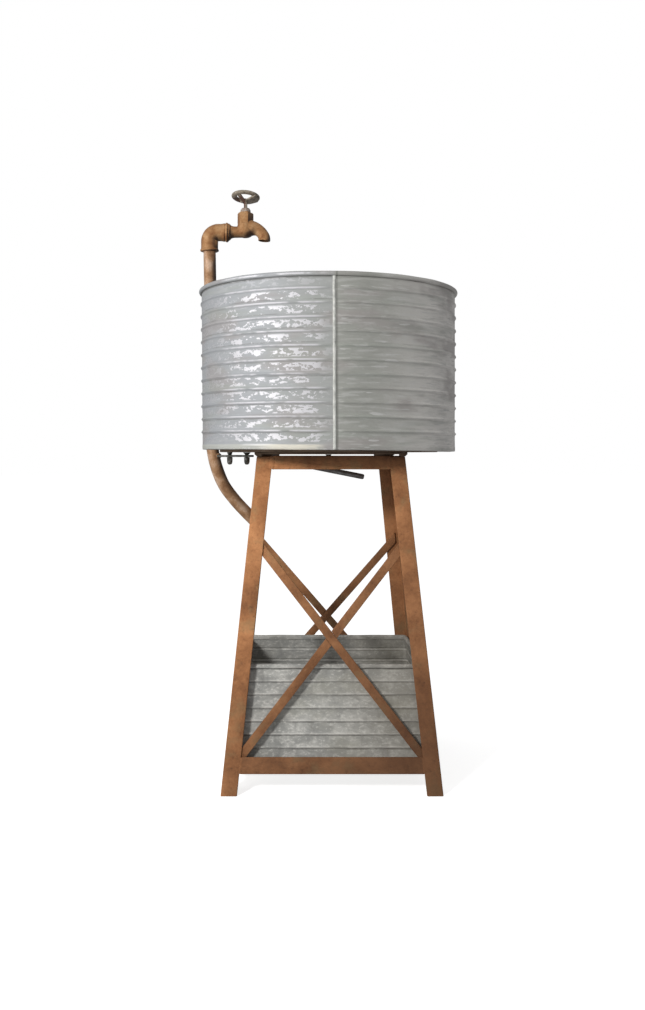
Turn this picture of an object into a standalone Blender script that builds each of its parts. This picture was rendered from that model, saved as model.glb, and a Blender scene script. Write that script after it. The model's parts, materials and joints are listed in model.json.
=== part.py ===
"""Garden water tank on a stand.

A round ribbed tub sits on a splayed stand of welded angle iron. A ribbed trough nests low in the
stand. A bent pipe rises behind the tub and carries an elbow and a tap with a turning handwheel.
Metres, +Z up, origin on the floor under the tub's axis, front towards -Y.
"""

from math import cos, hypot, pi, radians, sin, tan

import bmesh
import bpy
from mathutils import Matrix, Vector

# Gap kept between faces that touch
GAP = 0.0003

# Faces that meet at less than this are shaded as one
SMOOTH_ANGLE = radians(40)

# Stand of angle iron, square in plan, its four sides leaning inwards
BASE_HALF = 0.1688
SPLAY = 0.1029
STAND_TOP = 0.5141
FLANGE = 0.025
TRIMMED_FLANGE = 0.019
STEEL = 0.003
TOP_RAIL_HEIGHT = 0.0202
TOP_RAIL_FLANGE = 0.020
BOTTOM_RAIL_FOOT = 0.0326
BOTTOM_RAIL_HEIGHT = 0.0252

# Flat braces that cross on the front and on the back
BRACE_WIDTH = 0.013
BRACE_THICKNESS = 0.004
BRACE_CROSSING_Z = {"front": 0.2342, "back": 0.2262}
BRACE_RUN = {"front": 0.784, "back": 0.862}
BRACE_END_INSET = 0.008
BRACE_FOOT_LIFT = 0.003
BRACE_FOOT_Z = BOTTOM_RAIL_FOOT + STEEL + BRACE_FOOT_LIFT

# Flat seat bars on the leg tops
SEAT_HALF = 0.1193
SEAT_BAR_WIDTH = 0.025
SEAT_BAR_FOOT = 0.5176
SEAT_BAR_TOP = 0.5208
FRONT_PAD = 0.0076
BACK_PAD = 0.0316
SPACER_RADIUS = 0.0047
SPACER_WAIST = 0.0036
SPACER_SHIFT = 0.004

# Tub and the plate under it, in a frame that leans a little to the right
TUB_LEAN = radians(0.5)
TUB_SEGMENTS = 48
BASE_RADIUS = 0.181
BASE_HEIGHT = 0.0037
TUB_FLOOR_FOOT = BASE_HEIGHT + GAP
TUB_SHEET = 0.0012
TUB_HEM_FOOT = 0.0034
TUB_RADIUS_FOOT = 0.2086
TUB_RADIUS_TOP = 0.2096
RIM_CENTRE = 0.2617
RIM_BEAD_RADIUS = 0.0036
RIM_BEAD_OFFSET = 0.0012
TUB_RIB_COUNT = 11
TUB_RIB_FIRST = 0.0302
TUB_RIB_PITCH = 0.0211
TUB_RIB_HALF = 0.0029
TUB_RIB_RISE = 0.0020
SEAM_WIDTH = 0.0042
SEAM_THICKNESS = 0.0014
SEAM_SHIFT = 0.0012

# Drain spout under the base plate
DRAIN_RADIUS = 0.0045
DRAIN_INLET_X = -0.0892
DRAIN_MOUTH = Vector((0.0591, 0.0, 0.4797))
DRAIN_SLOPE = 0.20
DRAIN_BEND = 0.009
DRAIN_BEND_STEPS = 6
DRAIN_LIP_LENGTH = 0.003
DRAIN_LIP_RADIUS = 0.0036

# Trough low in the stand
TROUGH_TOP = 0.1897
TROUGH_FOOT = BOTTOM_RAIL_FOOT + STEEL + GAP
TROUGH_HALF_WIDTH = 0.1413
TROUGH_HALF_DEPTH = 0.1305
TROUGH_SHEET = 0.0012
TROUGH_BEAD_RADIUS = 0.0036
TROUGH_RIB_COUNT = 7
TROUGH_RIB_FIRST = 0.168
TROUGH_RIB_PITCH = 0.020
TROUGH_RIB_HALF = 0.0026
TROUGH_RIB_RISE = 0.0017
TROUGH_MITRE_GAP = 0.00022

# Riser pipe behind the tub's left side
PIPE_RADIUS = 0.0108
PIPE_SIDES = 14
PIPE_TOP = Vector((-0.2069, 0.0925, 0.8747))
PIPE_ABOVE_FLOOR = Vector((-0.2014, 0.0926, 0.570))
PIPE_AT_FLOOR = Vector((-0.2005, 0.0928, 0.520))
PIPE_BEND = Vector((-0.1863, 0.0960, 0.4722))
PIPE_SLANT = Vector((-0.1627, 0.1035, 0.4365))
PIPE_FOOT = Vector((-0.1285, 0.1150, 0.3990))

# Elbow on the pipe
ELBOW_RADIUS = 0.0148
ELBOW_BEND = 0.0160
ELBOW_AXIS_Z = 0.9081
ELBOW_COLLAR_RADIUS = 0.0169
ELBOW_COLLAR_LENGTH = 0.0054
ELBOW_COLLAR_STEP = 0.0006
ELBOW_END_X = -0.1736
ELBOW_STEPS = 8

# Tap, in a frame on the inlet axis, turned back about it
TAP_AXIS_Z = 0.9088
TAP_ROLL = radians(-10.0)
TAP_INLET_RADIUS = 0.0098
TAP_NUT_RADIUS = 0.0138
TAP_NUT_LENGTH = 0.0063
TAP_NUT_STEP = 0.0008
SPINDLE_X = 0.0294
TRUNK_RADIUS = 0.0144
TRUNK_TOP = 0.0225
TRUNK_FOOT = -0.0097
TRUNK_ROUNDING = 0.0085
SPOUT_POINTS = ((SPINDLE_X, 0.0100), (0.0440, 0.0082), (0.0560, 0.0010), (0.0624, -0.0086), (0.0627, -0.0165))
SPOUT_ROOT_RADIUS = 0.0112
SPOUT_MOUTH_RADIUS = 0.0108
MOUTH_BORE_RADIUS = 0.0088
MOUTH_BORE_DEPTH = 0.0035

# Hexagonal bonnet, gland nut and stem
BONNET_RADIUS = 0.0146
BONNET_TURN = radians(50)
BONNET_SHOULDER = 0.0318
BONNET_TOP = 0.0338
BONNET_TOP_RADIUS = 0.0120
GLAND_RADIUS = 0.0088
GLAND_TOP_RADIUS = 0.0062
GLAND_TOP = 0.0434
GLAND_CHAMFER = 0.0020
STEM_RADIUS = 0.0031

# Handwheel
WHEEL_HEIGHT = 0.0660
WHEEL_RADIUS = 0.0204
WHEEL_RIM_HALF_WIDTH = 0.0050
WHEEL_RIM_HALF_HEIGHT = 0.0033
WHEEL_RIM_SIDES = 10
WHEEL_HUB_RADIUS = 0.0052
WHEEL_HUB_FOOT = -0.0110
WHEEL_HUB_TOP = -0.0040
WHEEL_SPOKE_ROOT = 0.0020
WHEEL_SPOKE_THICKNESS = 0.0034
WHEEL_SPOKE_TURNS = (radians(113), radians(233), radians(353))
WHEEL_SPOKE_WIDTHS = (0.0064, 0.0064, 0.0200)
WHEEL_TILT = radians(4.3)

# Bracket bar between the pipe and the tub floor
BRACKET_Z = 0.5147
BRACKET_THICKNESS = 0.0036
BRACKET_WIDTH = 0.018
BRACKET_LENGTH = 0.0650
BOLT_REACHES = (0.0223, 0.0560)
BOLT_HOLE_REACH = 0.010
BOLT_SHANK_RADIUS = 0.0027
BOLT_NUT_RADIUS = 0.0050
BOLT_CONE_RADIUS = 0.0058
BOLT_FOOT = 0.4996
BOLT_SHOULDER = 0.5031
BOLT_TIP_RADIUS = 0.0036
BOLT_TIP_CHAMFER = 0.0010
BOLT_END_RADIUS = 0.0016

SIDES = ("front", "right", "back", "left")


def clear_scene():
    """Remove every object, so that the file can be run again."""
    for old in list(bpy.data.objects):
        bpy.data.objects.remove(old, do_unlink=True)


def finish(name, colour, roughness, metallic):
    """Make a plain material."""
    material = bpy.data.materials.new(name)
    material.use_nodes = True
    shader = material.node_tree.nodes["Principled BSDF"]
    shader.inputs["Base Color"].default_value = (*colour, 1.0)
    shader.inputs["Roughness"].default_value = roughness
    shader.inputs["Metallic"].default_value = metallic
    return material


def place(name, mesh, material, turn=0.0, parent=None, smooth_angle=None):
    """Link an object that shows the mesh, turned about +Z."""
    if not mesh.materials:
        mesh.materials.append(material)
    if smooth_angle is not None:
        mesh.shade_smooth()
        mesh.set_sharp_from_angle(angle=smooth_angle)
    piece = bpy.data.objects.new(name, mesh)
    piece.rotation_euler.z = turn
    piece.parent = parent
    bpy.context.collection.objects.link(piece)
    return piece


def to_mesh(bm, name):
    """Turn the faces outwards and write the bmesh to a mesh."""
    bmesh.ops.recalc_face_normals(bm, faces=bm.faces)
    mesh = bpy.data.meshes.new(name)
    bm.to_mesh(mesh)
    bm.free()
    return mesh


def extruded(name, section, ends):
    """Extrude a closed section. ends(point) gives the point's place at the start and at the end."""
    bm = bmesh.new()
    starts = [Vector(ends(point)[0]) for point in section]
    finishes = {}
    corners = []
    for point, start in zip(section, starts):
        corner = bm.verts.new(start)
        corners.append(corner)
        finishes[tuple(corner.co)] = Vector(ends(point)[1])
    cap = bm.faces.new(corners)
    grown = bmesh.ops.extrude_face_region(bm, geom=[cap], use_keep_orig=True)
    for corner in grown["geom"]:
        if isinstance(corner, bmesh.types.BMVert):
            corner.co = finishes[tuple(corner.co)]
    return to_mesh(bm, name)


def turned(name, profile, segments=24):
    """Turn a profile of (radius, height) points about +Z. A profile off the axis is a closed ring."""
    bm = bmesh.new()
    points = [bm.verts.new((radius, 0.0, height)) for radius, height in profile]
    on_axis = profile[0][0] == 0.0 and profile[-1][0] == 0.0
    pairs = zip(points, points[1:] if on_axis else points[1:] + points[:1])
    edges = [bm.edges.new(pair) for pair in pairs]
    bmesh.ops.spin(bm, geom=points + edges, cent=(0, 0, 0), axis=(0, 0, 1), angle=2 * pi,
                   steps=segments, use_merge=True)
    bmesh.ops.remove_doubles(bm, verts=bm.verts, dist=1e-6)
    return to_mesh(bm, name)


def box(name, low, high):
    """Make a plain bar between two corners."""
    bm = bmesh.new()
    size = Vector(high) - Vector(low)
    middle = (Vector(high) + Vector(low)) / 2
    bmesh.ops.create_cube(bm, size=1.0, matrix=Matrix.Translation(middle) @ Matrix.Diagonal((*size, 1.0)))
    return to_mesh(bm, name)


def stations(path):
    """Give each point of a path a frame whose Z runs along the path and which doesn't twist."""
    frames = []
    direction = (path[1] - path[0]).normalized()
    turn = direction.to_track_quat("Z", "Y")
    for index, point in enumerate(path):
        before = path[max(index - 1, 0)]
        after = path[min(index + 1, len(path) - 1)]
        ahead = (after - before).normalized()
        turn = direction.rotation_difference(ahead) @ turn
        direction = ahead
        frames.append(Matrix.Translation(point) @ turn.to_matrix().to_4x4())
    return frames


def swept(path, radii, sides):
    """Sweep a round section along a path and close its ends."""
    bm = bmesh.new()
    scales = [Matrix.Diagonal((radius, radius, radius, 1.0)) for radius in radii]
    frames = [frame @ scale for frame, scale in zip(stations(path), scales)]
    bmesh.ops.create_circle(bm, cap_ends=False, radius=1.0, segments=sides, matrix=frames[0])
    ring = list(bm.edges)
    for before, after in zip(frames, frames[1:]):
        grown = bmesh.ops.extrude_edge_only(bm, edges=ring)["geom"]
        fresh = [item for item in grown if isinstance(item, bmesh.types.BMVert)]
        bmesh.ops.transform(bm, matrix=after @ before.inverted(), verts=fresh)
        ring = [item for item in grown if isinstance(item, bmesh.types.BMEdge)]
    bmesh.ops.holes_fill(bm, edges=[edge for edge in bm.edges if edge.is_boundary], sides=0)
    return bm


def curve_through(points, steps):
    """Read a smooth path through the points, as a Catmull-Rom curve."""
    ends = [2 * points[0] - points[1], *points, 2 * points[-1] - points[-2]]
    path = []
    for before, start, stop, after in zip(ends, ends[1:], ends[2:], ends[3:]):
        for step in range(steps):
            t = step / steps
            path.append(0.5 * (2 * start + (stop - before) * t
                               + (2 * before - 5 * start + 4 * stop - after) * t ** 2
                               + (3 * start - before - 3 * stop + after) * t ** 3))
    path.append(points[-1].copy())
    return path


def join_by_boolean(piece, other, operation):
    """Unite with another object, or cut it out, and keep the other object as a guide."""
    other.hide_render = True
    other.display_type = "WIRE"
    modifier = piece.modifiers.new(other.name, "BOOLEAN")
    modifier.operation = operation
    modifier.solver = "EXACT"
    modifier.object = other


def half_at(height):
    """Half the stand's outer width at a height."""
    return BASE_HALF - SPLAY * height


def corner_legs(material):
    """Four legs of angle iron, corner outwards. The back left leg's flange at the back is trimmed."""
    def ends(point):
        low, high = half_at(0.0), half_at(STAND_TOP)
        return ((point[0] - low, point[1] - low, 0.0), (point[0] - high, point[1] - high, STAND_TOP))

    names = ("leg_front_left", "leg_front_right", "leg_back_right", "leg_back_left")
    for index, name in enumerate(names):
        depth = TRIMMED_FLANGE if name == "leg_back_left" else FLANGE
        section = ((0, 0), (FLANGE, 0), (FLANGE, STEEL), (STEEL, STEEL), (STEEL, depth), (0, depth))
        place(name, extruded(name, section, ends), material, turn=index * pi / 2)


def rails_between_legs(label, section, material):
    """Four rails of angle iron between the legs. The section is (distance behind the face, height)."""
    for index, side in enumerate(SIDES):
        far_flange = TRIMMED_FLANGE if side == "back" else FLANGE

        def ends(point):
            depth, height = point
            edge = half_at(height)
            face = depth - edge
            return (FLANGE + GAP - edge, face, height), (edge - far_flange - GAP, face, height)

        name = f"{label}_{side}"
        place(name, extruded(name, section, ends), material, turn=index * pi / 2)


def top_rails(material):
    """Rails with the flat flange on top, under the seat bars."""
    foot = STAND_TOP - TOP_RAIL_HEIGHT
    web = STAND_TOP - STEEL
    section = ((0, foot), (0, STAND_TOP), (TOP_RAIL_FLANGE, STAND_TOP), (TOP_RAIL_FLANGE, web),
               (STEEL, web), (STEEL, foot))
    rails_between_legs("top_rail", section, material)


def bottom_rails(material):
    """Rails with the flat flange at the foot, as a ledge for the trough."""
    top = BOTTOM_RAIL_FOOT + BOTTOM_RAIL_HEIGHT
    ledge = BOTTOM_RAIL_FOOT + STEEL
    section = ((0, top), (0, BOTTOM_RAIL_FOOT), (FLANGE, BOTTOM_RAIL_FOOT), (FLANGE, ledge),
               (STEEL, ledge), (STEEL, top))
    rails_between_legs("bottom_rail", section, material)


def brace_mesh(name, run, crossing, cuts):
    """A flat bar through the crossing, cut by planes and leant against the back of the leg flanges."""
    bm = bmesh.new()
    along = Vector((run, 0.0, -1.0)).normalized()
    lie = along.to_track_quat("Z", "Y").to_matrix().to_4x4()
    size = Matrix.Diagonal((BRACE_THICKNESS, BRACE_WIDTH, 2 * STAND_TOP, 1.0))
    behind = STEEL + GAP + BRACE_THICKNESS / 2
    centre = Matrix.Translation((0.0, behind, crossing.z))
    bmesh.ops.create_cube(bm, size=1.0, matrix=centre @ lie @ size)
    for point, outwards in cuts:
        geometry = bm.verts[:] + bm.edges[:] + bm.faces[:]
        bmesh.ops.bisect_plane(bm, geom=geometry, plane_co=point, plane_no=outwards, clear_outer=True)
        bmesh.ops.holes_fill(bm, edges=[edge for edge in bm.edges if edge.is_boundary], sides=0)
    lean = Matrix(((1, 0, 0, 0), (0, 1, SPLAY, -BASE_HALF), (0, 0, 1, 0), (0, 0, 0, 1)))
    bmesh.ops.transform(bm, matrix=lean, verts=bm.verts)
    return to_mesh(bm, name)


def braces(material):
    """One long bar and two half bars that meet it, on the front and on the back."""
    reach = BASE_HALF - BRACE_END_INSET
    ends = [((reach, 0, 0), (1, 0, SPLAY)), ((-reach, 0, 0), (-1, 0, SPLAY)),
            ((0, 0, BRACE_FOOT_Z), (0, 0, -1))]
    for side, turn in (("front", 0.0), ("back", pi)):
        run = BRACE_RUN[side]
        crossing = Vector((0.0, 0.0, BRACE_CROSSING_Z[side]))
        upward = Vector((1.0, 0.0, run)).normalized()
        clear = upward * (BRACE_WIDTH / 2 + GAP)
        cuts = {
            "long": (run, []),
            "upper": (-run, [(crossing + clear, -upward)]),
            "lower": (-run, [(crossing - clear, upward)]),
        }
        for label, (slope, extra) in cuts.items():
            name = f"brace_{side}_{label}"
            place(name, brace_mesh(name, slope, crossing, ends + extra), material, turn=turn)


def seat_bars(material):
    """Flat bars on the leg tops. The front and back bars have the pads that stand on the legs."""
    leg = half_at(STAND_TOP)
    foot = STAND_TOP + GAP
    inner = SEAT_HALF - SEAT_BAR_WIDTH
    for side, pad, turn in (("front", FRONT_PAD, 0.0), ("back", BACK_PAD, pi)):
        right = [(leg - pad, SEAT_BAR_FOOT), (leg - pad, foot), (leg, foot), (SEAT_HALF, SEAT_BAR_FOOT),
                 (SEAT_HALF, SEAT_BAR_TOP)]
        left = [(-reach, height) for reach, height in reversed(right)]

        def ends(point):
            return (point[0], -SEAT_HALF, point[1]), (point[0], -inner, point[1])

        place(f"seat_bar_{side}", extruded(f"seat_bar_{side}", right + left, ends), material, turn=turn)
    low = (inner, GAP - inner, SEAT_BAR_FOOT)
    high = (SEAT_HALF, inner - GAP, SEAT_BAR_TOP)
    mesh = box("seat_bar_side", low, high)
    place("seat_bar_right", mesh, material)
    place("seat_bar_left", mesh, material, turn=pi)


def seat_spacers(material):
    """Waisted spacers between the top rails and the seat bars, front and back."""
    foot = STAND_TOP + GAP
    top = SEAT_BAR_FOOT - GAP
    profile = ((0, foot), (SPACER_RADIUS, foot), (SPACER_WAIST, (foot + top) / 2), (SPACER_RADIUS, top),
               (0, top))
    mesh = turned("seat_spacer", profile, segments=16)
    depth = half_at(STAND_TOP) - TOP_RAIL_FLANGE / 2
    front = place("seat_spacer_front", mesh, material, smooth_angle=SMOOTH_ANGLE)
    front.location = (-SPACER_SHIFT, -depth, 0.0)
    back = place("seat_spacer_back", mesh, material, smooth_angle=SMOOTH_ANGLE)
    back.location = (SPACER_SHIFT, depth, 0.0)


def tub_frame():
    """The leaning frame of the tub. Its right edge rests on the seat bars."""
    frame = bpy.data.objects.new("tub_frame", None)
    lift = SEAT_HALF * sin(TUB_LEAN) + GAP
    frame.location = (0.0, 0.0, SEAT_BAR_TOP + lift)
    frame.rotation_euler.y = TUB_LEAN
    bpy.context.collection.objects.link(frame)
    return frame


def ribs(first, pitch, count, half, rise):
    """Heights and rises of a row of raised beads."""
    points = []
    for index in range(count):
        middle = first + pitch * index
        points += [(middle - half, 0.0), (middle, rise), (middle + half, 0.0)]
    return points


def bead(centre, offset, radius, sides=8):
    """The rolled edge above a sheet, from its outer foot round to its inner foot."""
    start, stop = radians(-70), radians(200)
    turns = [start + (stop - start) * step / (sides - 1) for step in range(sides)]
    return [(centre + radius * sin(turn), offset + radius * cos(turn)) for turn in turns]


def tub_radius(height):
    """Outer radius of the plain wall at a height."""
    return TUB_RADIUS_FOOT + (TUB_RADIUS_TOP - TUB_RADIUS_FOOT) * height / RIM_CENTRE


def tub_wall(frame, material):
    """The round wall with its ribs, hem and rolled rim, all one sheet."""
    outer = [(TUB_HEM_FOOT, 0.0)]
    outer += ribs(TUB_RIB_FIRST, TUB_RIB_PITCH, TUB_RIB_COUNT, TUB_RIB_HALF, TUB_RIB_RISE)
    outer.append((RIM_CENTRE - RIM_BEAD_RADIUS - GAP, 0.0))
    outer += bead(RIM_CENTRE, RIM_BEAD_OFFSET, RIM_BEAD_RADIUS)
    profile = [(tub_radius(height) + rise, height) for height, rise in outer]
    profile.append((tub_radius(TUB_HEM_FOOT) - TUB_SHEET, TUB_HEM_FOOT))
    mesh = turned("tub_wall", profile, TUB_SEGMENTS)
    place("tub_wall", mesh, material, parent=frame, smooth_angle=SMOOTH_ANGLE)


def tub_floor(frame, material):
    """The flat floor inside the foot of the wall."""
    radius = tub_radius(TUB_HEM_FOOT) - TUB_SHEET - GAP
    top = TUB_FLOOR_FOOT + TUB_SHEET
    profile = ((0, TUB_FLOOR_FOOT), (radius, TUB_FLOOR_FOOT), (radius, top), (0, top))
    place("tub_floor", turned("tub_floor", profile, TUB_SEGMENTS), material, parent=frame)


def tub_seam(frame, material):
    """The flattened lock seam down the front of the wall."""
    low, high = TUB_HEM_FOOT, RIM_CENTRE - RIM_BEAD_RADIUS - GAP

    def ends(point):
        side, out = point
        return [(side, -tub_radius(height) - TUB_RIB_RISE - GAP - out, height) for height in (low, high)]

    near, far = SEAM_SHIFT - SEAM_WIDTH / 2, SEAM_SHIFT + SEAM_WIDTH / 2
    section = ((near, 0), (far, 0), (far, SEAM_THICKNESS), (near, SEAM_THICKNESS))
    place("tub_seam", extruded("tub_seam", section, ends), material, parent=frame)


def tub_base(frame, material):
    """The round plate under the tub floor. It lies level on the seat bars and its top leans."""
    profile = ((0, 0), (BASE_RADIUS, 0), (BASE_RADIUS, BASE_HEIGHT), (0, BASE_HEIGHT))
    mesh = turned("tub_base", profile, TUB_SEGMENTS)
    for corner in mesh.vertices:
        if corner.co.z < BASE_HEIGHT / 2:
            corner.co.z = (corner.co.x - SEAT_HALF) * tan(TUB_LEAN)
    place("tub_base", mesh, material, parent=frame)


def tub_floor_foot_at(x):
    """Height of the tub floor's underside, right of the axis."""
    lift = SEAT_BAR_TOP + SEAT_HALF * sin(TUB_LEAN) + GAP
    return lift + TUB_FLOOR_FOOT * cos(TUB_LEAN) - x * sin(TUB_LEAN)


def drain_spout(material):
    """A small tube that drops from the base plate and slopes to its mouth on the right."""
    run = Vector((1.0, 0.0, -DRAIN_SLOPE)).normalized()
    knee = DRAIN_MOUTH - run * ((DRAIN_MOUTH.x - DRAIN_INLET_X) / run.x)
    start, stop = knee + Vector((0, 0, DRAIN_BEND)), knee + run * DRAIN_BEND
    path = [Vector((DRAIN_INLET_X, 0.0, SEAT_BAR_TOP))]
    for step in range(DRAIN_BEND_STEPS + 1):
        t = step / DRAIN_BEND_STEPS
        path.append((1 - t) ** 2 * start + 2 * t * (1 - t) * knee + t ** 2 * stop)
    path += [DRAIN_MOUTH - run * DRAIN_LIP_LENGTH, DRAIN_MOUTH]
    radii = [DRAIN_RADIUS] * (len(path) - 1) + [DRAIN_LIP_RADIUS]
    mesh = to_mesh(swept(path, radii, 12), "drain_spout")
    place("drain_spout", mesh, material, smooth_angle=SMOOTH_ANGLE)


def trough_wall_section():
    """Section of a trough wall, as (distance out of the sheet's face, height)."""
    last = TROUGH_RIB_FIRST - TROUGH_RIB_PITCH * (TROUGH_RIB_COUNT - 1)
    outer = [(TROUGH_FOOT, 0.0)]
    outer += ribs(last, TROUGH_RIB_PITCH, TROUGH_RIB_COUNT, TROUGH_RIB_HALF, TROUGH_RIB_RISE)
    outer += bead(TROUGH_TOP, 0.0, TROUGH_BEAD_RADIUS)
    outer.append((TROUGH_FOOT, -TROUGH_SHEET))
    return [(out, height) for height, out in outer]


def trough_walls(material):
    """Four sloping sheet walls, mitred at the corners."""
    def wall(name, half_across, half_along, turn):
        def ends(point):
            out, height = point
            flare = SPLAY * (TROUGH_TOP - height) + out
            reach = half_across + flare - TROUGH_MITRE_GAP
            face = -(half_along + flare)
            return (-reach, face, height), (reach, face, height)

        place(name, extruded(name, trough_wall_section(), ends), material, turn=turn)

    wall("trough_front", TROUGH_HALF_WIDTH, TROUGH_HALF_DEPTH, 0.0)
    wall("trough_right", TROUGH_HALF_DEPTH, TROUGH_HALF_WIDTH, pi / 2)
    wall("trough_back", TROUGH_HALF_WIDTH, TROUGH_HALF_DEPTH, pi)
    wall("trough_left", TROUGH_HALF_DEPTH, TROUGH_HALF_WIDTH, -pi / 2)


def trough_floor(material):
    """The trough's flat floor inside the walls."""
    inset = SPLAY * (TROUGH_TOP - TROUGH_FOOT) - TROUGH_SHEET - 2 * GAP
    across, along = TROUGH_HALF_WIDTH + inset, TROUGH_HALF_DEPTH + inset
    mesh = box("trough_floor", (-across, -along, TROUGH_FOOT), (across, along, TROUGH_FOOT + TROUGH_SHEET))
    place("trough_floor", mesh, material)


def riser_pipe(material):
    """The bent pipe, from the elbow down behind the tub to the outer face of the back left leg."""
    run = PIPE_FOOT - PIPE_SLANT
    points = [PIPE_TOP - Vector((0, 0, GAP)), PIPE_ABOVE_FLOOR, PIPE_AT_FLOOR, PIPE_BEND, PIPE_SLANT,
              PIPE_FOOT, PIPE_FOOT + run * 0.6]
    path = curve_through(points, 6)
    bm = swept(path, [PIPE_RADIUS] * len(path), PIPE_SIDES)
    face = Vector((-1.0, 0.0, SPLAY)).normalized()
    on_face = Vector((-BASE_HALF, 0.0, 0.0)) + face * GAP
    bmesh.ops.bisect_plane(bm, geom=bm.verts[:] + bm.edges[:] + bm.faces[:], plane_co=on_face,
                           plane_no=-face, clear_outer=True)
    bmesh.ops.holes_fill(bm, edges=[edge for edge in bm.edges if edge.is_boundary], sides=0)
    place("riser_pipe", to_mesh(bm, "riser_pipe"), material, smooth_angle=SMOOTH_ANGLE)


def pipe_elbow(material):
    """The cast elbow, with a raised collar at each end."""
    x, y, foot = PIPE_TOP
    neck = foot + ELBOW_COLLAR_LENGTH
    path = [Vector((x, y, height)) for height in (foot, neck, neck + ELBOW_COLLAR_STEP)]
    radii = [ELBOW_COLLAR_RADIUS, ELBOW_COLLAR_RADIUS, ELBOW_RADIUS]
    for index in range(ELBOW_STEPS + 1):
        turn = pi / 2 * index / ELBOW_STEPS
        right = x + ELBOW_BEND * (1 - cos(turn))
        path.append(Vector((right, y, ELBOW_AXIS_Z - ELBOW_BEND * (1 - sin(turn)))))
        radii.append(ELBOW_RADIUS)
    neck = ELBOW_END_X - ELBOW_COLLAR_LENGTH
    path += [Vector((right, y, ELBOW_AXIS_Z)) for right in (neck - ELBOW_COLLAR_STEP, neck, ELBOW_END_X)]
    radii += [ELBOW_RADIUS, ELBOW_COLLAR_RADIUS, ELBOW_COLLAR_RADIUS]
    mesh = to_mesh(swept(path, radii, 20), "pipe_elbow")
    place("pipe_elbow", mesh, material, smooth_angle=SMOOTH_ANGLE)


def tap_frame():
    """The tap's frame: X along the inlet from the elbow, Z up the spindle."""
    frame = bpy.data.objects.new("tap_frame", None)
    frame.location = (ELBOW_END_X + GAP, PIPE_TOP.y, TAP_AXIS_Z)
    frame.rotation_euler.x = TAP_ROLL
    bpy.context.collection.objects.link(frame)
    return frame


def tap_body(frame, material):
    """Inlet nut and tube, upright trunk and bent spout, cast in one, with a shallow mouth."""
    nut, tube = TAP_NUT_RADIUS, TAP_INLET_RADIUS
    inlet_spots = (0.0, TAP_NUT_LENGTH, TAP_NUT_LENGTH + TAP_NUT_STEP, SPINDLE_X)
    inlet_path = [Vector((x, 0, 0)) for x in inlet_spots]
    inlet_mesh = to_mesh(swept(inlet_path, [nut, nut, tube, tube], 20), "tap_body")
    inlet = place("tap_body", inlet_mesh, material, parent=frame, smooth_angle=SMOOTH_ANGLE)

    round_foot = [(TRUNK_RADIUS * sin(turn), TRUNK_FOOT + TRUNK_ROUNDING * (1 - cos(turn)))
                  for turn in (pi / 2 * step / 5 for step in range(6))]
    trunk_profile = [*round_foot, (TRUNK_RADIUS, TRUNK_TOP), (0.0, TRUNK_TOP)]
    trunk = place("trunk_form", turned("trunk_form", trunk_profile, 20), material, parent=frame)
    trunk.location.x = SPINDLE_X

    spout_path = curve_through([Vector((x, 0, height)) for x, height in SPOUT_POINTS], 4)
    last = len(spout_path) - 1
    spout_radii = [SPOUT_ROOT_RADIUS + (SPOUT_MOUTH_RADIUS - SPOUT_ROOT_RADIUS) * index / last
                   for index in range(last + 1)]
    spout_mesh = to_mesh(swept(spout_path, spout_radii, 20), "spout_form")
    spout = place("spout_form", spout_mesh, material, parent=frame)
    join_by_boolean(inlet, trunk, "UNION")
    join_by_boolean(inlet, spout, "UNION")

    mouth = spout_path[-1]
    heading = (spout_path[-1] - spout_path[-2]).normalized()
    bore_path = [mouth - heading * MOUTH_BORE_DEPTH, mouth + heading * MOUTH_BORE_DEPTH]
    bore_mesh = to_mesh(swept(bore_path, [MOUTH_BORE_RADIUS] * 2, 16), "mouth_cutter")
    bore = place("mouth_cutter", bore_mesh, material, parent=frame)
    join_by_boolean(inlet, bore, "DIFFERENCE")


def tap_bonnet(frame, material):
    """The hexagonal bonnet on the trunk and the gland nut on the bonnet."""
    foot = TRUNK_TOP + GAP
    profile = ((0, foot), (BONNET_RADIUS, foot), (BONNET_RADIUS, BONNET_SHOULDER),
               (BONNET_TOP_RADIUS, BONNET_TOP), (0, BONNET_TOP))
    bonnet = place("tap_bonnet", turned("tap_bonnet", profile, 6), material, turn=BONNET_TURN, parent=frame)
    bonnet.location.x = SPINDLE_X
    foot = BONNET_TOP + GAP
    profile = ((0, foot), (GLAND_RADIUS, foot), (GLAND_RADIUS, GLAND_TOP - GLAND_CHAMFER),
               (GLAND_TOP_RADIUS, GLAND_TOP), (0, GLAND_TOP))
    gland = place("gland_nut", turned("gland_nut", profile, 12), material, parent=frame)
    gland.location.x = SPINDLE_X


def spindle_frame(frame):
    """The turning axis, on which the stem and the handwheel have their origins."""
    axis = bpy.data.objects.new("spindle_frame", None)
    axis.parent = frame
    axis.location = (SPINDLE_X, 0.0, WHEEL_HEIGHT)
    bpy.context.collection.objects.link(axis)
    return axis


def tap_stem(axis, material):
    """The stem from the gland nut to the hub of the wheel."""
    foot = GLAND_TOP + GAP - WHEEL_HEIGHT
    top = WHEEL_HUB_FOOT - 2 * GAP
    profile = ((0, foot), (STEM_RADIUS, foot), (STEM_RADIUS, top), (0, top))
    place("tap_stem", turned("tap_stem", profile, 16), material, parent=axis, smooth_angle=SMOOTH_ANGLE)


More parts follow.
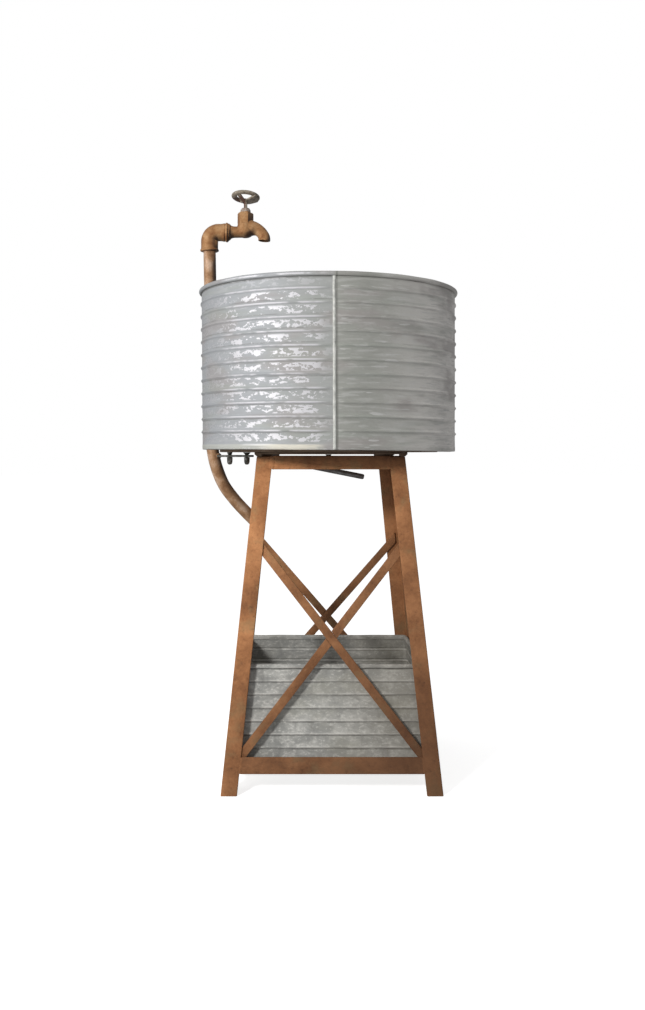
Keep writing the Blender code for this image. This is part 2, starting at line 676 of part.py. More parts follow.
def handwheel(axis, material):
    """The round handwheel, a little crooked on its stem: a rim, a low hub and rising spokes."""
    crooked = bpy.data.objects.new("wheel_frame", None)
    crooked.parent = axis
    crooked.rotation_euler.y = WHEEL_TILT
    bpy.context.collection.objects.link(crooked)
    section = [(WHEEL_RADIUS + WHEEL_RIM_HALF_WIDTH * cos(turn), WHEEL_RIM_HALF_HEIGHT * sin(turn))
               for turn in (2 * pi * step / WHEEL_RIM_SIDES for step in range(WHEEL_RIM_SIDES))]
    wheel = place("handwheel", turned("handwheel", section, 30), material, parent=crooked,
                  smooth_angle=SMOOTH_ANGLE)
    hub_profile = ((0, WHEEL_HUB_FOOT), (WHEEL_HUB_RADIUS, WHEEL_HUB_FOOT), (WHEEL_HUB_RADIUS, WHEEL_HUB_TOP),
                   (0, WHEEL_HUB_TOP))
    hub = place("hub_form", turned("hub_form", hub_profile, 18), material, parent=crooked)
    join_by_boolean(wheel, hub, "UNION")
    drop = (WHEEL_HUB_FOOT + WHEEL_HUB_TOP) / 2
    up = WHEEL_SPOKE_THICKNESS / 2

    def ends(point):
        across, height = point
        return (WHEEL_SPOKE_ROOT, across * narrowing, drop + height), (WHEEL_RADIUS, across, height)

    for index, (turn, width) in enumerate(zip(WHEEL_SPOKE_TURNS, WHEEL_SPOKE_WIDTHS)):
        narrowing = min(1.0, WHEEL_HUB_RADIUS / width)
        section = ((width / 2, 0), (0, up), (-width / 2, 0), (0, -up))
        spoke_mesh = extruded(f"spoke_form_{index}", section, ends)
        spoke = place(f"spoke_form_{index}", spoke_mesh, material, turn=turn, parent=crooked)
        join_by_boolean(wheel, spoke, "UNION")


def pipe_bracket(material, bolt_material):
    """A bar from the pipe to a bolt under the tub floor and a bolt under the base plate."""
    start = PIPE_AT_FLOOR.xy
    inward = -start.normalized()
    turn = Vector((1.0, 0.0)).angle_signed(inward)
    low = (PIPE_RADIUS + 4 * GAP, -BRACKET_WIDTH / 2, -BRACKET_THICKNESS / 2)
    high = (PIPE_RADIUS + BRACKET_LENGTH, BRACKET_WIDTH / 2, BRACKET_THICKNESS / 2)
    bar = place("pipe_bracket", box("pipe_bracket", low, high), material, turn=-turn)
    bar.location = (*start, BRACKET_Z)
    over = BRACKET_Z + BRACKET_THICKNESS / 2 + GAP
    under = BRACKET_Z - BRACKET_THICKNESS / 2 - GAP
    hole = BOLT_SHANK_RADIUS + GAP
    hole_profile = ((0, -BOLT_HOLE_REACH), (hole, -BOLT_HOLE_REACH), (hole, BOLT_HOLE_REACH),
                    (0, BOLT_HOLE_REACH))
    for name, reach in zip(("bracket_bolt_outer", "bracket_bolt_inner"), BOLT_REACHES):
        centre = start + inward * (reach + PIPE_RADIUS)
        cutter = place(f"{name}_hole", turned(f"{name}_hole", hole_profile, 12), material)
        cutter.location = (*centre, BRACKET_Z)
        join_by_boolean(bar, cutter, "DIFFERENCE")
        under_plate = hypot(*centre) < BASE_RADIUS
        top = SEAT_BAR_TOP if under_plate else tub_floor_foot_at(centre.x + BOLT_CONE_RADIUS) - GAP
        profile = ((0, top), (BOLT_CONE_RADIUS, top), (BOLT_NUT_RADIUS, over), (BOLT_SHANK_RADIUS, over),
                   (BOLT_SHANK_RADIUS, under), (BOLT_NUT_RADIUS, under), (BOLT_NUT_RADIUS, BOLT_SHOULDER),
                   (BOLT_TIP_RADIUS, BOLT_FOOT + BOLT_TIP_CHAMFER), (BOLT_END_RADIUS, BOLT_FOOT),
                   (0, BOLT_FOOT))
        bolt = place(name, turned(name, profile, 12), bolt_material)
        bolt.location = (*centre, 0.0)


def main():
    """Build every piece."""
    clear_scene()
    zinc = finish("galvanised_sheet", (0.50, 0.50, 0.48), 0.35, 0.8)
    rust = finish("rusted_steel", (0.26, 0.13, 0.07), 0.75, 0.2)
    aged_pipe = finish("aged_pipe", (0.34, 0.18, 0.09), 0.6, 0.3)
    aged_brass = finish("aged_brass", (0.30, 0.17, 0.09), 0.5, 0.6)
    dark_iron = finish("dark_iron", (0.10, 0.09, 0.08), 0.6, 0.6)

    corner_legs(rust)
    top_rails(rust)
    bottom_rails(rust)
    braces(rust)
    seat_bars(rust)
    seat_spacers(dark_iron)

    leaning = tub_frame()
    tub_base(leaning, dark_iron)
    tub_wall(leaning, zinc)
    tub_floor(leaning, zinc)
    tub_seam(leaning, zinc)
    drain_spout(zinc)

    trough_walls(zinc)
    trough_floor(zinc)

    riser_pipe(aged_pipe)
    pipe_elbow(aged_pipe)
    tap = tap_frame()
    tap_body(tap, aged_brass)
    tap_bonnet(tap, aged_brass)
    spindle = spindle_frame(tap)
    tap_stem(spindle, dark_iron)
    handwheel(spindle, dark_iron)
    pipe_bracket(rust, dark_iron)


main()
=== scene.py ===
"""Looks of a garden water tank on its stand.

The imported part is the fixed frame. Around it this script builds the finer pieces: the ribbed tub
with its rolled rim and lock seam, the ribbed trough, the softened bars of the rusted stand with
their welds, the bent riser pipe, and the cast tap with its handwheel. Metres, +Z up, front -Y.
"""

from __future__ import annotations

import json
import logging
from collections.abc import Iterable, Sequence
from dataclasses import dataclass
from enum import Enum
from math import cos, pi, radians, sin, tan
from typing import Union

import bmesh
import bpy
from mathutils import Euler, Matrix, Vector, noise

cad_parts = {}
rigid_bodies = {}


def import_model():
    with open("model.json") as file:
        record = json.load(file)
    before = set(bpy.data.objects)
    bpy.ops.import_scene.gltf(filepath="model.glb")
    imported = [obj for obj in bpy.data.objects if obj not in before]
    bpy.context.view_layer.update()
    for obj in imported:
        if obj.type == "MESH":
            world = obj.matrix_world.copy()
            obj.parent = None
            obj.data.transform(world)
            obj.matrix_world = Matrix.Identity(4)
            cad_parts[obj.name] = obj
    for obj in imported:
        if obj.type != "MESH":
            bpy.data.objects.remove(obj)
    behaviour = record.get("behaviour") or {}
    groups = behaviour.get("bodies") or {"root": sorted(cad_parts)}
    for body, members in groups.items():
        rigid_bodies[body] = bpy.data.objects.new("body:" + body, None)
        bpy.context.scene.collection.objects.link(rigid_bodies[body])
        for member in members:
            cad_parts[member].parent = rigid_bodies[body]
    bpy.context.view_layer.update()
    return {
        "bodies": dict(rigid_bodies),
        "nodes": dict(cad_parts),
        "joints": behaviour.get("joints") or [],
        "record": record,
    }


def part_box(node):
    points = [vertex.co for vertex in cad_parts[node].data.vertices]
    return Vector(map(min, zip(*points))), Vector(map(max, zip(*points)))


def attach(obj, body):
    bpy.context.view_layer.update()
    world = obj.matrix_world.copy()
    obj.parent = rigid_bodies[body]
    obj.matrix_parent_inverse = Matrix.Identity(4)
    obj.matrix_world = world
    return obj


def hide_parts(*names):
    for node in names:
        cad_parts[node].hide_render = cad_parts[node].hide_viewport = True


log = logging.getLogger("water_tank")

Colour = tuple[float, float, float]
Point = tuple[float, float]
Band = tuple[float, float]
Nodes = dict[str, bpy.types.Object]

SIDES = ("front", "right", "back", "left")
# Vertex attribute and direction for painted shade on faces turned right and down.
SHADE_ATTRIBUTE = "lee"
SHADE_DIRECTION = Vector((0.86, 0.0, -0.51))
WELD_DISTANCE = 1e-6
ROUND_SMOOTH = radians(180)
SHEET_SMOOTH = radians(50)


class Body(Enum):
    """The bodies that the pieces ride on."""

    STAND = "tank_stand"
    WHEEL = "tap_wheel"


class Slot(Enum):
    """The record's material slots."""

    ZINC = "galvanised_sheet"
    RUST = "rusted_steel"
    PIPE = "aged_pipe"
    BRASS = "aged_brass"
    IRON = "dark_iron"


# Shader building


@dataclass(frozen=True)
class Cloud:
    """A noise pattern. As a mask it rises from 0 to its share over its band."""

    scale: float
    detail: float = 5.0
    roughness: float = 0.55
    warp: float = 0.0
    band: Band = (0.0, 1.0)
    share: float = 1.0


class Sock:
    """A shader socket that takes part in Python arithmetic."""

    def __init__(self, graph: Graph, socket: bpy.types.NodeSocket) -> None:
        """Keep the socket and the graph that its maths goes into."""
        self.graph = graph
        self.socket = socket

    def _math(self, operation: str, first: Value, second: Value) -> Sock:
        """Add one Math node for two values."""
        return self.graph.node("ShaderNodeMath", {"operation": operation}, {0: first, 1: second})

    def __add__(self, other: Value) -> Sock:
        """Add a value."""
        return self._math("ADD", self, other)

    def __sub__(self, other: Value) -> Sock:
        """Subtract a value."""
        return self._math("SUBTRACT", self, other)

    def __rsub__(self, other: Value) -> Sock:
        """Subtract from a value."""
        return self._math("SUBTRACT", other, self)

    def __mul__(self, other: Value) -> Sock:
        """Multiply by a value."""
        return self._math("MULTIPLY", self, other)

    __radd__ = __add__
    __rmul__ = __mul__

    def fold(self, span: float) -> Sock:
        """Run up and down between 0 and the span, as a ping-pong."""
        return self._math("PINGPONG", self, span)

    def peak(self, other: Value) -> Sock:
        """Take the greater of two values."""
        return self._math("MAXIMUM", self, other)

    def step(self, low: float, high: float) -> Sock:
        """Rise smoothly from 0 at low to 1 at high, or fall where low is above high.

        Args:
            low: Where the step is 0.
            high: Where the step is 1.

        Returns:
            The smooth step.
        """
        start, stop = (0.0, 1.0) if low <= high else (1.0, 0.0)
        return self.graph.node(
            "ShaderNodeMapRange", {"interpolation_type": "SMOOTHSTEP"},
            {"Value": self, "From Min": min(low, high), "From Max": max(low, high),
             "To Min": start, "To Max": stop})

    def spread(self, low: float, high: float) -> Sock:
        """Carry the range 0 to 1 over to low to high."""
        return self * (high - low) + low

    def stirred(self, other: Sock, share: float) -> Sock:
        """Shift a pattern up and down by another one that runs from 0 to 1."""
        return self + other * share - share / 2


Value = Union[Sock, float, tuple]


class Graph:
    """The node tree of one material, with short ways to the patterns that the finishes use."""

    def __init__(self, tree: bpy.types.NodeTree) -> None:
        """Work in the given node tree."""
        self.tree = tree

    def node(self, kind: str, settings: dict | None = None, values: dict | None = None,
             output: str | int = 0) -> Sock:
        """Add a node.

        Args:
            kind: The node's type.
            settings: Its own settings, set first. "stops" is a ramp's list of (place, colour).
            values: A value or a Sock for each socket, by name, identifier or number.
            output: The output that is returned.

        Returns:
            The chosen output as a Sock.
        """
        made = self.tree.nodes.new(kind)
        for key, value in (settings or {}).items():
            if key == "stops":
                ramp = made.color_ramp
                while len(ramp.elements) < len(value):
                    ramp.elements.new(0.5)
                for element, (place, colour) in zip(ramp.elements, value):
                    element.position = place
                    element.color = (*colour, 1.0)
            else:
                setattr(made, key, value)
        for key, value in (values or {}).items():
            self.feed(self.find(made.inputs, key), value)
        return Sock(self, self.find(made.outputs, output))

    @staticmethod
    def find(sockets: Sequence[bpy.types.NodeSocket], key: str | int) -> bpy.types.NodeSocket:
        """Find a socket.

        Args:
            sockets: A node's inputs or outputs.
            key: The socket's number, identifier or name.

        Returns:
            The socket.
        """
        if isinstance(key, int):
            return sockets[key]
        for socket in sockets:
            if socket.identifier == key:
                return socket
        return next(socket for socket in sockets if socket.name == key)

    def feed(self, socket: bpy.types.NodeSocket, value: Value) -> None:
        """Link a Sock to a socket, or set the socket's own value.

        Args:
            socket: The socket that is fed.
            value: A Sock, a number, a vector or a colour.
        """
        if isinstance(value, Sock):
            self.tree.links.new(value.socket, socket)
        elif socket.type == "RGBA":
            socket.default_value = (*value[:3], 1.0)
        else:
            socket.default_value = value

    def place(self, scale: tuple = (1.0, 1.0, 1.0), shift: tuple = (0.0, 0.0, 0.0),
              turn: tuple = (0.0, 0.0, 0.0)) -> Sock:
        """Read the object's own coordinates.

        Args:
            scale: Stretch of the pattern along each axis.
            shift: Shift after the stretch and the turn.
            turn: Turn about each axis.

        Returns:
            The coordinates as a vector.
        """
        coordinates = self.node("ShaderNodeTexCoord", output="Object")
        return self.node("ShaderNodeMapping", {"vector_type": "POINT"},
                         {"Vector": coordinates, "Location": shift, "Rotation": turn,
                          "Scale": scale})

    def axis(self, vector: Sock, name: str) -> Sock:
        """Take the X, Y or Z of a vector."""
        return self.node("ShaderNodeSeparateXYZ", None, {"Vector": vector}, output=name)

    def clouds(self, vector: Sock, cloud: Cloud) -> Sock:
        """Read a noise pattern, from 0 to 1.

        Args:
            vector: The coordinates that it reads.
            cloud: The pattern's sizes.

        Returns:
            The pattern.
        """
        return self.node("ShaderNodeTexNoise", {"noise_dimensions": "3D"},
                         {"Vector": vector, "Scale": cloud.scale, "Detail": cloud.detail,
                          "Roughness": cloud.roughness, "Distortion": cloud.warp}, output="Fac")

    def mask(self, vector: Sock, cloud: Cloud) -> Sock:
        """Read a noise pattern as a mask."""
        return self.clouds(vector, cloud).step(*cloud.band) * cloud.share

    def blend(self, mask: Value, below: Value, above: Value) -> Sock:
        """Mix two colours by a mask.

        Args:
            mask: 0 for the colour below, 1 for the one above.
            below: The colour below.
            above: The colour above.

        Returns:
            The mixed colour.
        """
        return self.node("ShaderNodeMix", {"data_type": "RGBA", "blend_type": "MIX"},
                         {"Factor_Float": mask, "A_Color": below, "B_Color": above},
                         output="Result_Color")

    def ramp(self, value: Sock, places: Sequence[float], colours: Sequence[Colour]) -> Sock:
        """Colour a value by a ramp."""
        stops = list(zip(places, colours))
        return self.node("ShaderNodeValToRGB", {"stops": stops}, {"Fac": value}, output="Color")

    def bump(self, height: Sock, distance: float, strength: float) -> Sock:
        """Turn a height into a bumped normal.

        Args:
            height: The pattern that is raised.
            distance: How far it is raised.
            strength: Share of the effect.

        Returns:
            The normal.
        """
        return self.node("ShaderNodeBump", None,
                         {"Strength": strength, "Distance": distance, "Height": height},
                         output="Normal")


# Shared forms


@dataclass(frozen=True)
class Ribs:
    """A row of rounded ribs along a wall, for its section and for its paint."""

    first: float
    pitch: float
    count: int
    half: float
    rise: float
    shape: tuple[Point, ...] = ((-1.35, 0.0), (-0.95, 0.10), (-0.60, 0.48), (-0.30, 0.86),
                                (0.0, 1.0), (0.30, 0.86), (0.60, 0.48), (0.95, 0.10), (1.35, 0.0))

    def profile(self) -> list[Point]:
        """Points of the ribs as (out, height), from the lowest up."""
        return [(self.rise * out, self.first + self.pitch * index + self.half * share)
                for index in range(self.count) for share, out in self.shape]

    def stripe(self, height: Sock, above: float, band: Band) -> Sock:
        """Mask a stripe along each rib, a little above its crest or, if negative, below it."""
        return (height - self.first - above).fold(self.pitch / 2).step(*band)


@dataclass(frozen=True)
class TubSeat:
    """Where the tub stands: the height of its foot, its slide, its lean and its skew."""

    height: float = 0.52214
    slide: float = -0.0006
    lean: float = radians(0.5)
    skew: float = 0.0120

    def matrix(self) -> Matrix:
        """Give the tub's leaning frame, with its axis a little out of square.

        Returns:
            The frame.
        """
        skewed = Matrix.Identity(4)
        skewed[0][2] = -self.skew
        place = Matrix.Translation((self.slide, 0.0, self.height))
        return place @ Matrix.Rotation(self.lean, 4, "Y") @ skewed


TUB_SEAT = TubSeat()
TUB_RIBS = Ribs(first=0.0302, pitch=0.0211, count=11, half=0.0029, rise=0.0020)
TROUGH_RIBS = Ribs(first=0.048, pitch=0.020, count=7, half=0.0026, rise=0.0017)


# Finishes


@dataclass(frozen=True)
class Finish:
    """A finish that makes one material. Each kind paints its own patterns."""

    name: str

    def paint(self, graph: Graph) -> dict[str, Value]:
        """Give the values of the main shader's sockets."""
        raise NotImplementedError

    def make(self) -> bpy.types.Material:
        """Make the material.

        Returns:
            The new material.
        """
        material = bpy.data.materials.new(self.name)
        material.use_nodes = True
        graph = Graph(material.node_tree)
        shader = material.node_tree.nodes["Principled BSDF"]
        for key, value in self.paint(graph).items():
            graph.feed(graph.find(shader.inputs, key), value)
        return material


@dataclass(frozen=True)
class TubPlace:
    """Coordinates that the tub's layers share, and the masks of its two sheets."""

    height: Sock
    across: Sock
    deep: Sock
    wide: Sock
    drawn: Sock
    left: Sock
    right: Sock


@dataclass(frozen=True)
class TubZinc(Finish):
    """Weathered galvanised sheet of the tub, with bright rubbed patches that carry a painted
    highlight, painted highlights on the rib crests, painted shade lines by the ribs and under the
    rim, and a painted reflection near the right edge.
    """

    left_sheet: Colour = (0.375, 0.390, 0.410)
    seam_sheet: Colour = (0.365, 0.375, 0.370)
    right_sheet: Colour = (0.335, 0.340, 0.316)
    # Painted reflection: the right sheet pales to this colour towards its far edge.
    right_edge_sheen: Colour = (0.86, 0.835, 0.805)
    # Pale zinc of the rubbed patches, partly their own colour and partly a painted highlight; on
    # the rib crests it is a painted highlight only.
    worn_and_highlight: Colour = (0.86, 0.85, 0.89)
    pale: Colour = (0.56, 0.56, 0.55)
    mauve: Colour = (0.355, 0.325, 0.32)
    green: Colour = (0.34, 0.365, 0.33)
    # Dark colour of the dark dashes, and of the painted shade lines by the ribs, under the rim and
    # right of the seam.
    grime_and_shade: Colour = (0.17, 0.17, 0.16)
    # Cream of the front hem, partly rubbed zinc and partly a painted highlight.
    cream: Colour = (0.74, 0.70, 0.60)
    moss: Colour = (0.54, 0.55, 0.50)

    back_from: Band = (0.02, 0.12)
    seam_edge: Band = (0.0020, 0.0044)
    back_edge: Band = (-0.09, 0.09)
    left_fade: Band = (-0.125, -0.010)
    right_sheen_fade: Band = (0.04, 0.205)
    seam_margin: Band = (-0.006, -0.030)

    mauve_clouds: Cloud = Cloud(9.0, 4.0, 0.5, band=(0.48, 0.62), share=0.55)
    green_clouds: Cloud = Cloud(6.0, 3.0, band=(0.50, 0.66), share=0.40)
    dashes: Cloud = Cloud(30.0, 3.0, 0.5)
    dash_reach: Band = (0.35, 1.0)
    pale_dash: Band = (0.555, 0.610)
    pale_share: float = 0.32
    dark_dash: Band = (0.430, 0.375)
    dark_share: float = 0.13
    glints: Cloud = Cloud(24.0, 2.0, 0.5, band=(0.650, 0.675), share=0.75)

    gaps: Cloud = Cloud(26.0, 3.0, band=(0.36, 0.56))
    crest_above: float = -0.0004
    crest_band: Band = (0.0018, 0.0009)
    crest_from: Band = (-0.176, -0.150)
    crest_to: Band = (-0.002, -0.030)
    crest_highlight_share: float = 0.80
    # Painted shade lines under the lower ribs and over the upper ones, and under the rim.
    upper_from: Band = (0.120, 0.170)
    foot_above: float = -0.0036
    foot_band: Band = (0.0014, 0.0004)
    brow_above: float = 0.0042
    brow_band: Band = (0.0013, 0.0004)
    shade_line_reach: Band = (0.12, 0.50)
    shade_line_top: Band = (0.240, 0.234)
    rim_shade_foot: Band = (0.2552, 0.2566)
    rim_shade_top: Band = (0.2592, 0.2582)
    rim_shade_reach: Band = (0.10, 0.65)

    blotch: Cloud = Cloud(45.0, 5.0, 0.60, 0.4)
    lace: Cloud = Cloud(170.0, 4.0, 0.6)
    lace_share: float = 0.55
    patch_band: Band = (0.790, 0.835)
    patch_reach: Band = (0.25, 1.0)
    patch_off_rib: Band = (0.0030, 0.0060)
    patch_top: Band = (0.246, 0.238)
    patch_at_seam: Band = (0.2, 1.0)
    # Painted highlight: the patches' bright colour fades towards the far left.
    highlight_edge: Band = (-0.185, -0.140)
    highlight_share: Band = (0.25, 0.84)

    hem_top: Band = (0.0104, 0.0086)
    moss_share: float = 0.6
    cream_from: Band = (-0.120, -0.080)
    cream_clouds: Cloud = Cloud(34.0, 4.0, band=(0.34, 0.54))
    cream_and_highlight_share: float = 0.72
    nick_place: float = 0.0070
    nick_band: Band = (0.0011, 0.0004)
    # Painted shadow of the seam ridge, a dark band just right of the seam, stronger low down.
    nick_foot: Band = (0.2560, 0.2572)
    seam_shadow_left: Band = (0.0050, 0.0060)
    seam_shadow_right: Band = (0.0094, 0.0080)
    seam_shadow_height: Band = (0.250, 0.02)
    seam_shadow_share: Band = (0.50, 0.80)
    front_from: Band = (0.0, -0.1)
    nick_and_shadow_share: float = 0.9

    gloss_clouds: Cloud = Cloud(40.0, 4.0)
    gloss: Band = (0.52, 0.62)
    worn_gloss: float = -0.13
    metal: Band = (0.25, 0.50)
    grain: Cloud = Cloud(26.0, 3.0)
    peel: Cloud = Cloud(220.0, 4.0, 0.6)
    peel_share: float = 0.08

    def survey(self, graph: Graph) -> TubPlace:
        """Read the coordinates in the tub's own leaning frame.

        Args:
            graph: The material's node tree.

        Returns:
            The tub's coordinates.
        """
        lean = TUB_SEAT.lean
        back = Euler((0.0, -lean, 0.0)).to_matrix()
        shift = -(back @ Vector((TUB_SEAT.slide, 0.0, TUB_SEAT.height)))
        level = graph.place(turn=(0.0, -lean, 0.0), shift=tuple(shift))
        height, deep = graph.axis(level, "Z"), graph.axis(level, "Y")
        across = graph.axis(level, "X") + height * TUB_SEAT.skew
        behind = deep.step(*self.back_from)
        right = across.step(*self.seam_edge) * (1 - behind) + across.step(*self.back_edge) * behind
        return TubPlace(height, across, deep, graph.place(scale=(1.0, 1.0, 3.0)),
                        graph.place(scale=(1.0, 1.0, 9.0), shift=(3.0, 1.0, 0.0)), 1 - right, right)

    def sheets(self, graph: Graph, at: TubPlace) -> Sock:
        """Paint the two sheets with their clouds, dashes and glints, and the painted reflection
        that pales the right sheet towards its far edge.

        Args:
            graph: The material's node tree.
            at: The tub's coordinates.

        Returns:
            The colour so far.
        """
        left_tone = graph.blend(at.across.step(*self.left_fade), self.left_sheet, self.seam_sheet)
        # Painted reflection paling the right sheet towards its far edge.
        right_tone = graph.blend(at.across.step(*self.right_sheen_fade), self.right_sheet,
                                 self.right_edge_sheen)
        tone = graph.blend(at.right, left_tone, right_tone)
        tone = graph.blend(graph.mask(at.wide, self.mauve_clouds), tone, self.mauve)
        tone = graph.blend(graph.mask(at.drawn, self.green_clouds), tone, self.green)
        dashes, reach = graph.clouds(at.drawn, self.dashes), at.right.spread(*self.dash_reach)
        tone = graph.blend(dashes.step(*self.pale_dash) * reach * self.pale_share, tone, self.pale)
        tone = graph.blend(dashes.step(*self.dark_dash) * reach * self.dark_share, tone, self.grime_and_shade)
        thin = graph.place(scale=(1.0, 1.0, 12.0), shift=(0.0, 2.0, 5.0))
        return graph.blend(graph.mask(thin, self.glints) * at.right, tone, self.pale)

    def ribs(self, graph: Graph, at: TubPlace) -> tuple[Sock, Sock]:
        """Mask the painted highlights on the crests of the ribs, and the painted shade lines under
        or over them and under the rim.

        Args:
            graph: The material's node tree.
            at: The tub's coordinates.

        Returns:
            The crests and the lines.
        """
        broken = graph.mask(at.wide, self.gaps)
        # Painted highlight on the rib crests, only across the front left.
        crest = TUB_RIBS.stripe(at.height, self.crest_above, self.crest_band) * broken
        crest = crest * at.across.step(*self.crest_from) * at.across.step(*self.crest_to)
        upper = at.height.step(*self.upper_from)
        foot = TUB_RIBS.stripe(at.height, self.foot_above, self.foot_band) * (1 - upper)
        brow = TUB_RIBS.stripe(at.height, self.brow_above, self.brow_band) * upper
        line = foot.peak(brow) * broken * at.left.spread(*self.shade_line_reach)
        # Painted shade under the rolled rim, stronger on the left.
        neck = at.height.step(*self.rim_shade_foot) * at.height.step(*self.rim_shade_top)
        return crest, (line * at.height.step(*self.shade_line_top)).peak(
            neck * at.left.spread(*self.rim_shade_reach))

    def patches(self, graph: Graph, at: TubPlace) -> Sock:
        """Mask the bright lace of rubbed zinc between the ribs of the left sheet, whose pale colour
        is partly a painted highlight.

        Args:
            graph: The material's node tree.
            at: The tub's coordinates.

        Returns:
            The mask.
        """
        lace = graph.clouds(graph.place(scale=(1.0, 1.0, 1.4)), self.lace) * self.lace_share
        patch = (graph.clouds(at.wide, self.blotch) + lace).step(*self.patch_band)
        patch = patch * at.left.spread(*self.patch_reach)
        patch = patch * TUB_RIBS.stripe(at.height, 0.0, self.patch_off_rib)
        patch = patch * at.height.step(*self.patch_top).spread(*self.patch_reach)
        return patch * at.across.step(*self.seam_margin).spread(*self.patch_at_seam)

    def edges(self, graph: Graph, at: TubPlace, tone: Sock) -> Sock:
        """Paint the mossy hem with its rubbed cream edge, which is partly a painted highlight, a
        dark nick at the rim beside the seam, and the painted shadow right of the seam.

        Args:
            graph: The material's node tree.
            at: The tub's coordinates.
            tone: The colour so far.

        Returns:
            The finished colour.
        """
        hem = at.height.step(*self.hem_top) * at.across.step(*self.seam_margin)
        tone = graph.blend(hem * self.moss_share, tone, self.moss)
        # Cream band of the front hem, partly rubbed zinc and partly a painted highlight.
        hem_wear_and_highlight = hem * at.across.step(*self.cream_from) * graph.mask(at.wide, self.cream_clouds)
        tone = graph.blend(hem_wear_and_highlight * self.cream_and_highlight_share, tone, self.cream)
        nick = (at.across - self.nick_place).fold(0.5).step(*self.nick_band)
        # Painted shadow of the seam ridge, just right of the seam.
        groove = at.across.step(*self.seam_shadow_left) * at.across.step(*self.seam_shadow_right)
        groove = groove * at.height.step(*self.seam_shadow_height).spread(*self.seam_shadow_share)
        nick_and_seam_shadow = (nick * at.height.step(*self.nick_foot)).peak(groove)
        return graph.blend(nick_and_seam_shadow * at.deep.step(*self.front_from) * self.nick_and_shadow_share, tone, self.grime_and_shade)

    def paint(self, graph: Graph) -> dict[str, Value]:
        """Paint the sheets, the ribs, the rubbed patches and the edges with their painted
        highlights and painted shade, and polish what is rubbed.

        Args:
            graph: The material's node tree.

        Returns:
            The values of the main shader's sockets.
        """
        at = self.survey(graph)
        crest, line = self.ribs(graph, at)
        patch = self.patches(graph, at)
        # Painted shade lines, then the rubbed patches with their painted highlight, then painted
        # highlights on the rib crests.
        tone = graph.blend(line, self.sheets(graph, at), self.grime_and_shade)
        clear = at.across.step(*self.highlight_edge).spread(*self.highlight_share)
        tone = graph.blend(patch * clear, tone, self.worn_and_highlight)
        tone = graph.blend(crest * self.crest_highlight_share, tone, self.worn_and_highlight)
        shine = patch.peak(crest)
        gloss = graph.clouds(at.wide, self.gloss_clouds).spread(*self.gloss)
        peel = graph.clouds(graph.place(scale=(1.0, 1.0, 2.0)), self.peel) * self.peel_share
        relief = graph.bump(graph.clouds(graph.place(), self.grain) + peel, 0.0016, 0.5)
        return {"Base Color": self.edges(graph, at, tone),
                "Roughness": shine * self.worn_gloss + gloss,
                "Metallic": shine.spread(*self.metal), "Normal": relief}


@dataclass(frozen=True)
class TroughZinc(Finish):
    """Galvanised sheet of the trough under an uneven pale wash with darker runs."""

    sheet: Colour = (0.335, 0.335, 0.32)
    wash: Colour = (0.50, 0.495, 0.468)
    chalk: Colour = (0.70, 0.69, 0.65)
    olive: Colour = (0.40, 0.39, 0.33)
    dark: Colour = (0.12, 0.12, 0.115)
    # Painted shade: a darker, browner colour laid on towards the right.
    darkening: Colour = (0.200, 0.172, 0.130)
    mottle: Cloud = Cloud(30.0, 7.0, 0.66, 0.5, band=(0.40, 0.64))
    fine: Cloud = Cloud(170.0, 6.0, 0.68)
    fine_mottle: float = 0.35
    chalk_band: Band = (0.700, 0.790)
    chalk_share: float = 0.60
    pit_band: Band = (0.42, 0.30)
    pit_share: float = 0.30
    runs: Cloud = Cloud(60.0, 4.0, 0.6, band=(0.54, 0.74), share=0.35)
    olive_clouds: Cloud = Cloud(12.0, 4.0, band=(0.50, 0.70), share=0.40)
    gaps: Cloud = Cloud(30.0, 3.0, band=(0.34, 0.56))
    # Painted highlight on the rib crests and painted shade at the rib feet.
    crest_band: Band = (0.0015, 0.0005)
    foot_above: float = -0.0030
    foot_band: Band = (0.0014, 0.0004)
    rib_light_and_shade_share: float = 0.60
    right_shade_from: Band = (-0.06, 0.13)
    right_shade_share: float = 0.46
    gloss: Band = (0.66, 0.50)
    metal: float = 0.25
    dents: Cloud = Cloud(30.0, 4.0)
    dent_fine: float = 0.15

    def paint(self, graph: Graph) -> dict[str, Value]:
        """Paint the pale wash, the runs, painted highlights on the ribs' crests and painted shade
        at their feet, and painted shade that darkens the sheet towards the right.

        Args:
            graph: The material's node tree.

        Returns:
            The values of the main shader's sockets.
        """
        plain = graph.place()
        height = graph.axis(plain, "Z")
        wide = graph.place(scale=(1.0, 1.0, 1.7), shift=(0.3, 0.7, 0.2))
        tall = graph.place(scale=(1.0, 1.0, 0.35), shift=(1.3, 0.2, 0.0))
        mottle, fine = graph.clouds(wide, self.mottle), graph.clouds(wide, self.fine)
        broken = graph.mask(wide, self.gaps)
        crest = TROUGH_RIBS.stripe(height, 0.0, self.crest_band)
        foot = TROUGH_RIBS.stripe(height, self.foot_above, self.foot_band)
        chalked = (fine + mottle * self.fine_mottle).step(*self.chalk_band)
        # Painted shade growing towards the right.
        darkened = graph.axis(plain, "X").step(*self.right_shade_from)
        tone = graph.blend(mottle.step(*self.mottle.band), self.sheet, self.wash)
        for mask, colour in ((chalked * self.chalk_share, self.chalk),
                             (fine.step(*self.pit_band) * self.pit_share, self.dark),
                             (graph.mask(tall, self.runs), self.dark),
                             (graph.mask(wide, self.olive_clouds), self.olive),
                             # Painted highlight on the crests, painted shade at the feet.
                             (crest * broken * self.rib_light_and_shade_share, self.chalk),
                             (foot * broken * self.rib_light_and_shade_share, self.dark),
                             (darkened * self.right_shade_share, self.darkening)):
            tone = graph.blend(mask, tone, colour)
        dents = graph.clouds(plain, self.dents) + fine * self.dent_fine
        return {"Base Color": tone, "Roughness": mottle.spread(*self.gloss),
                "Metallic": self.metal, "Normal": graph.bump(dents, 0.0018, 0.6)}


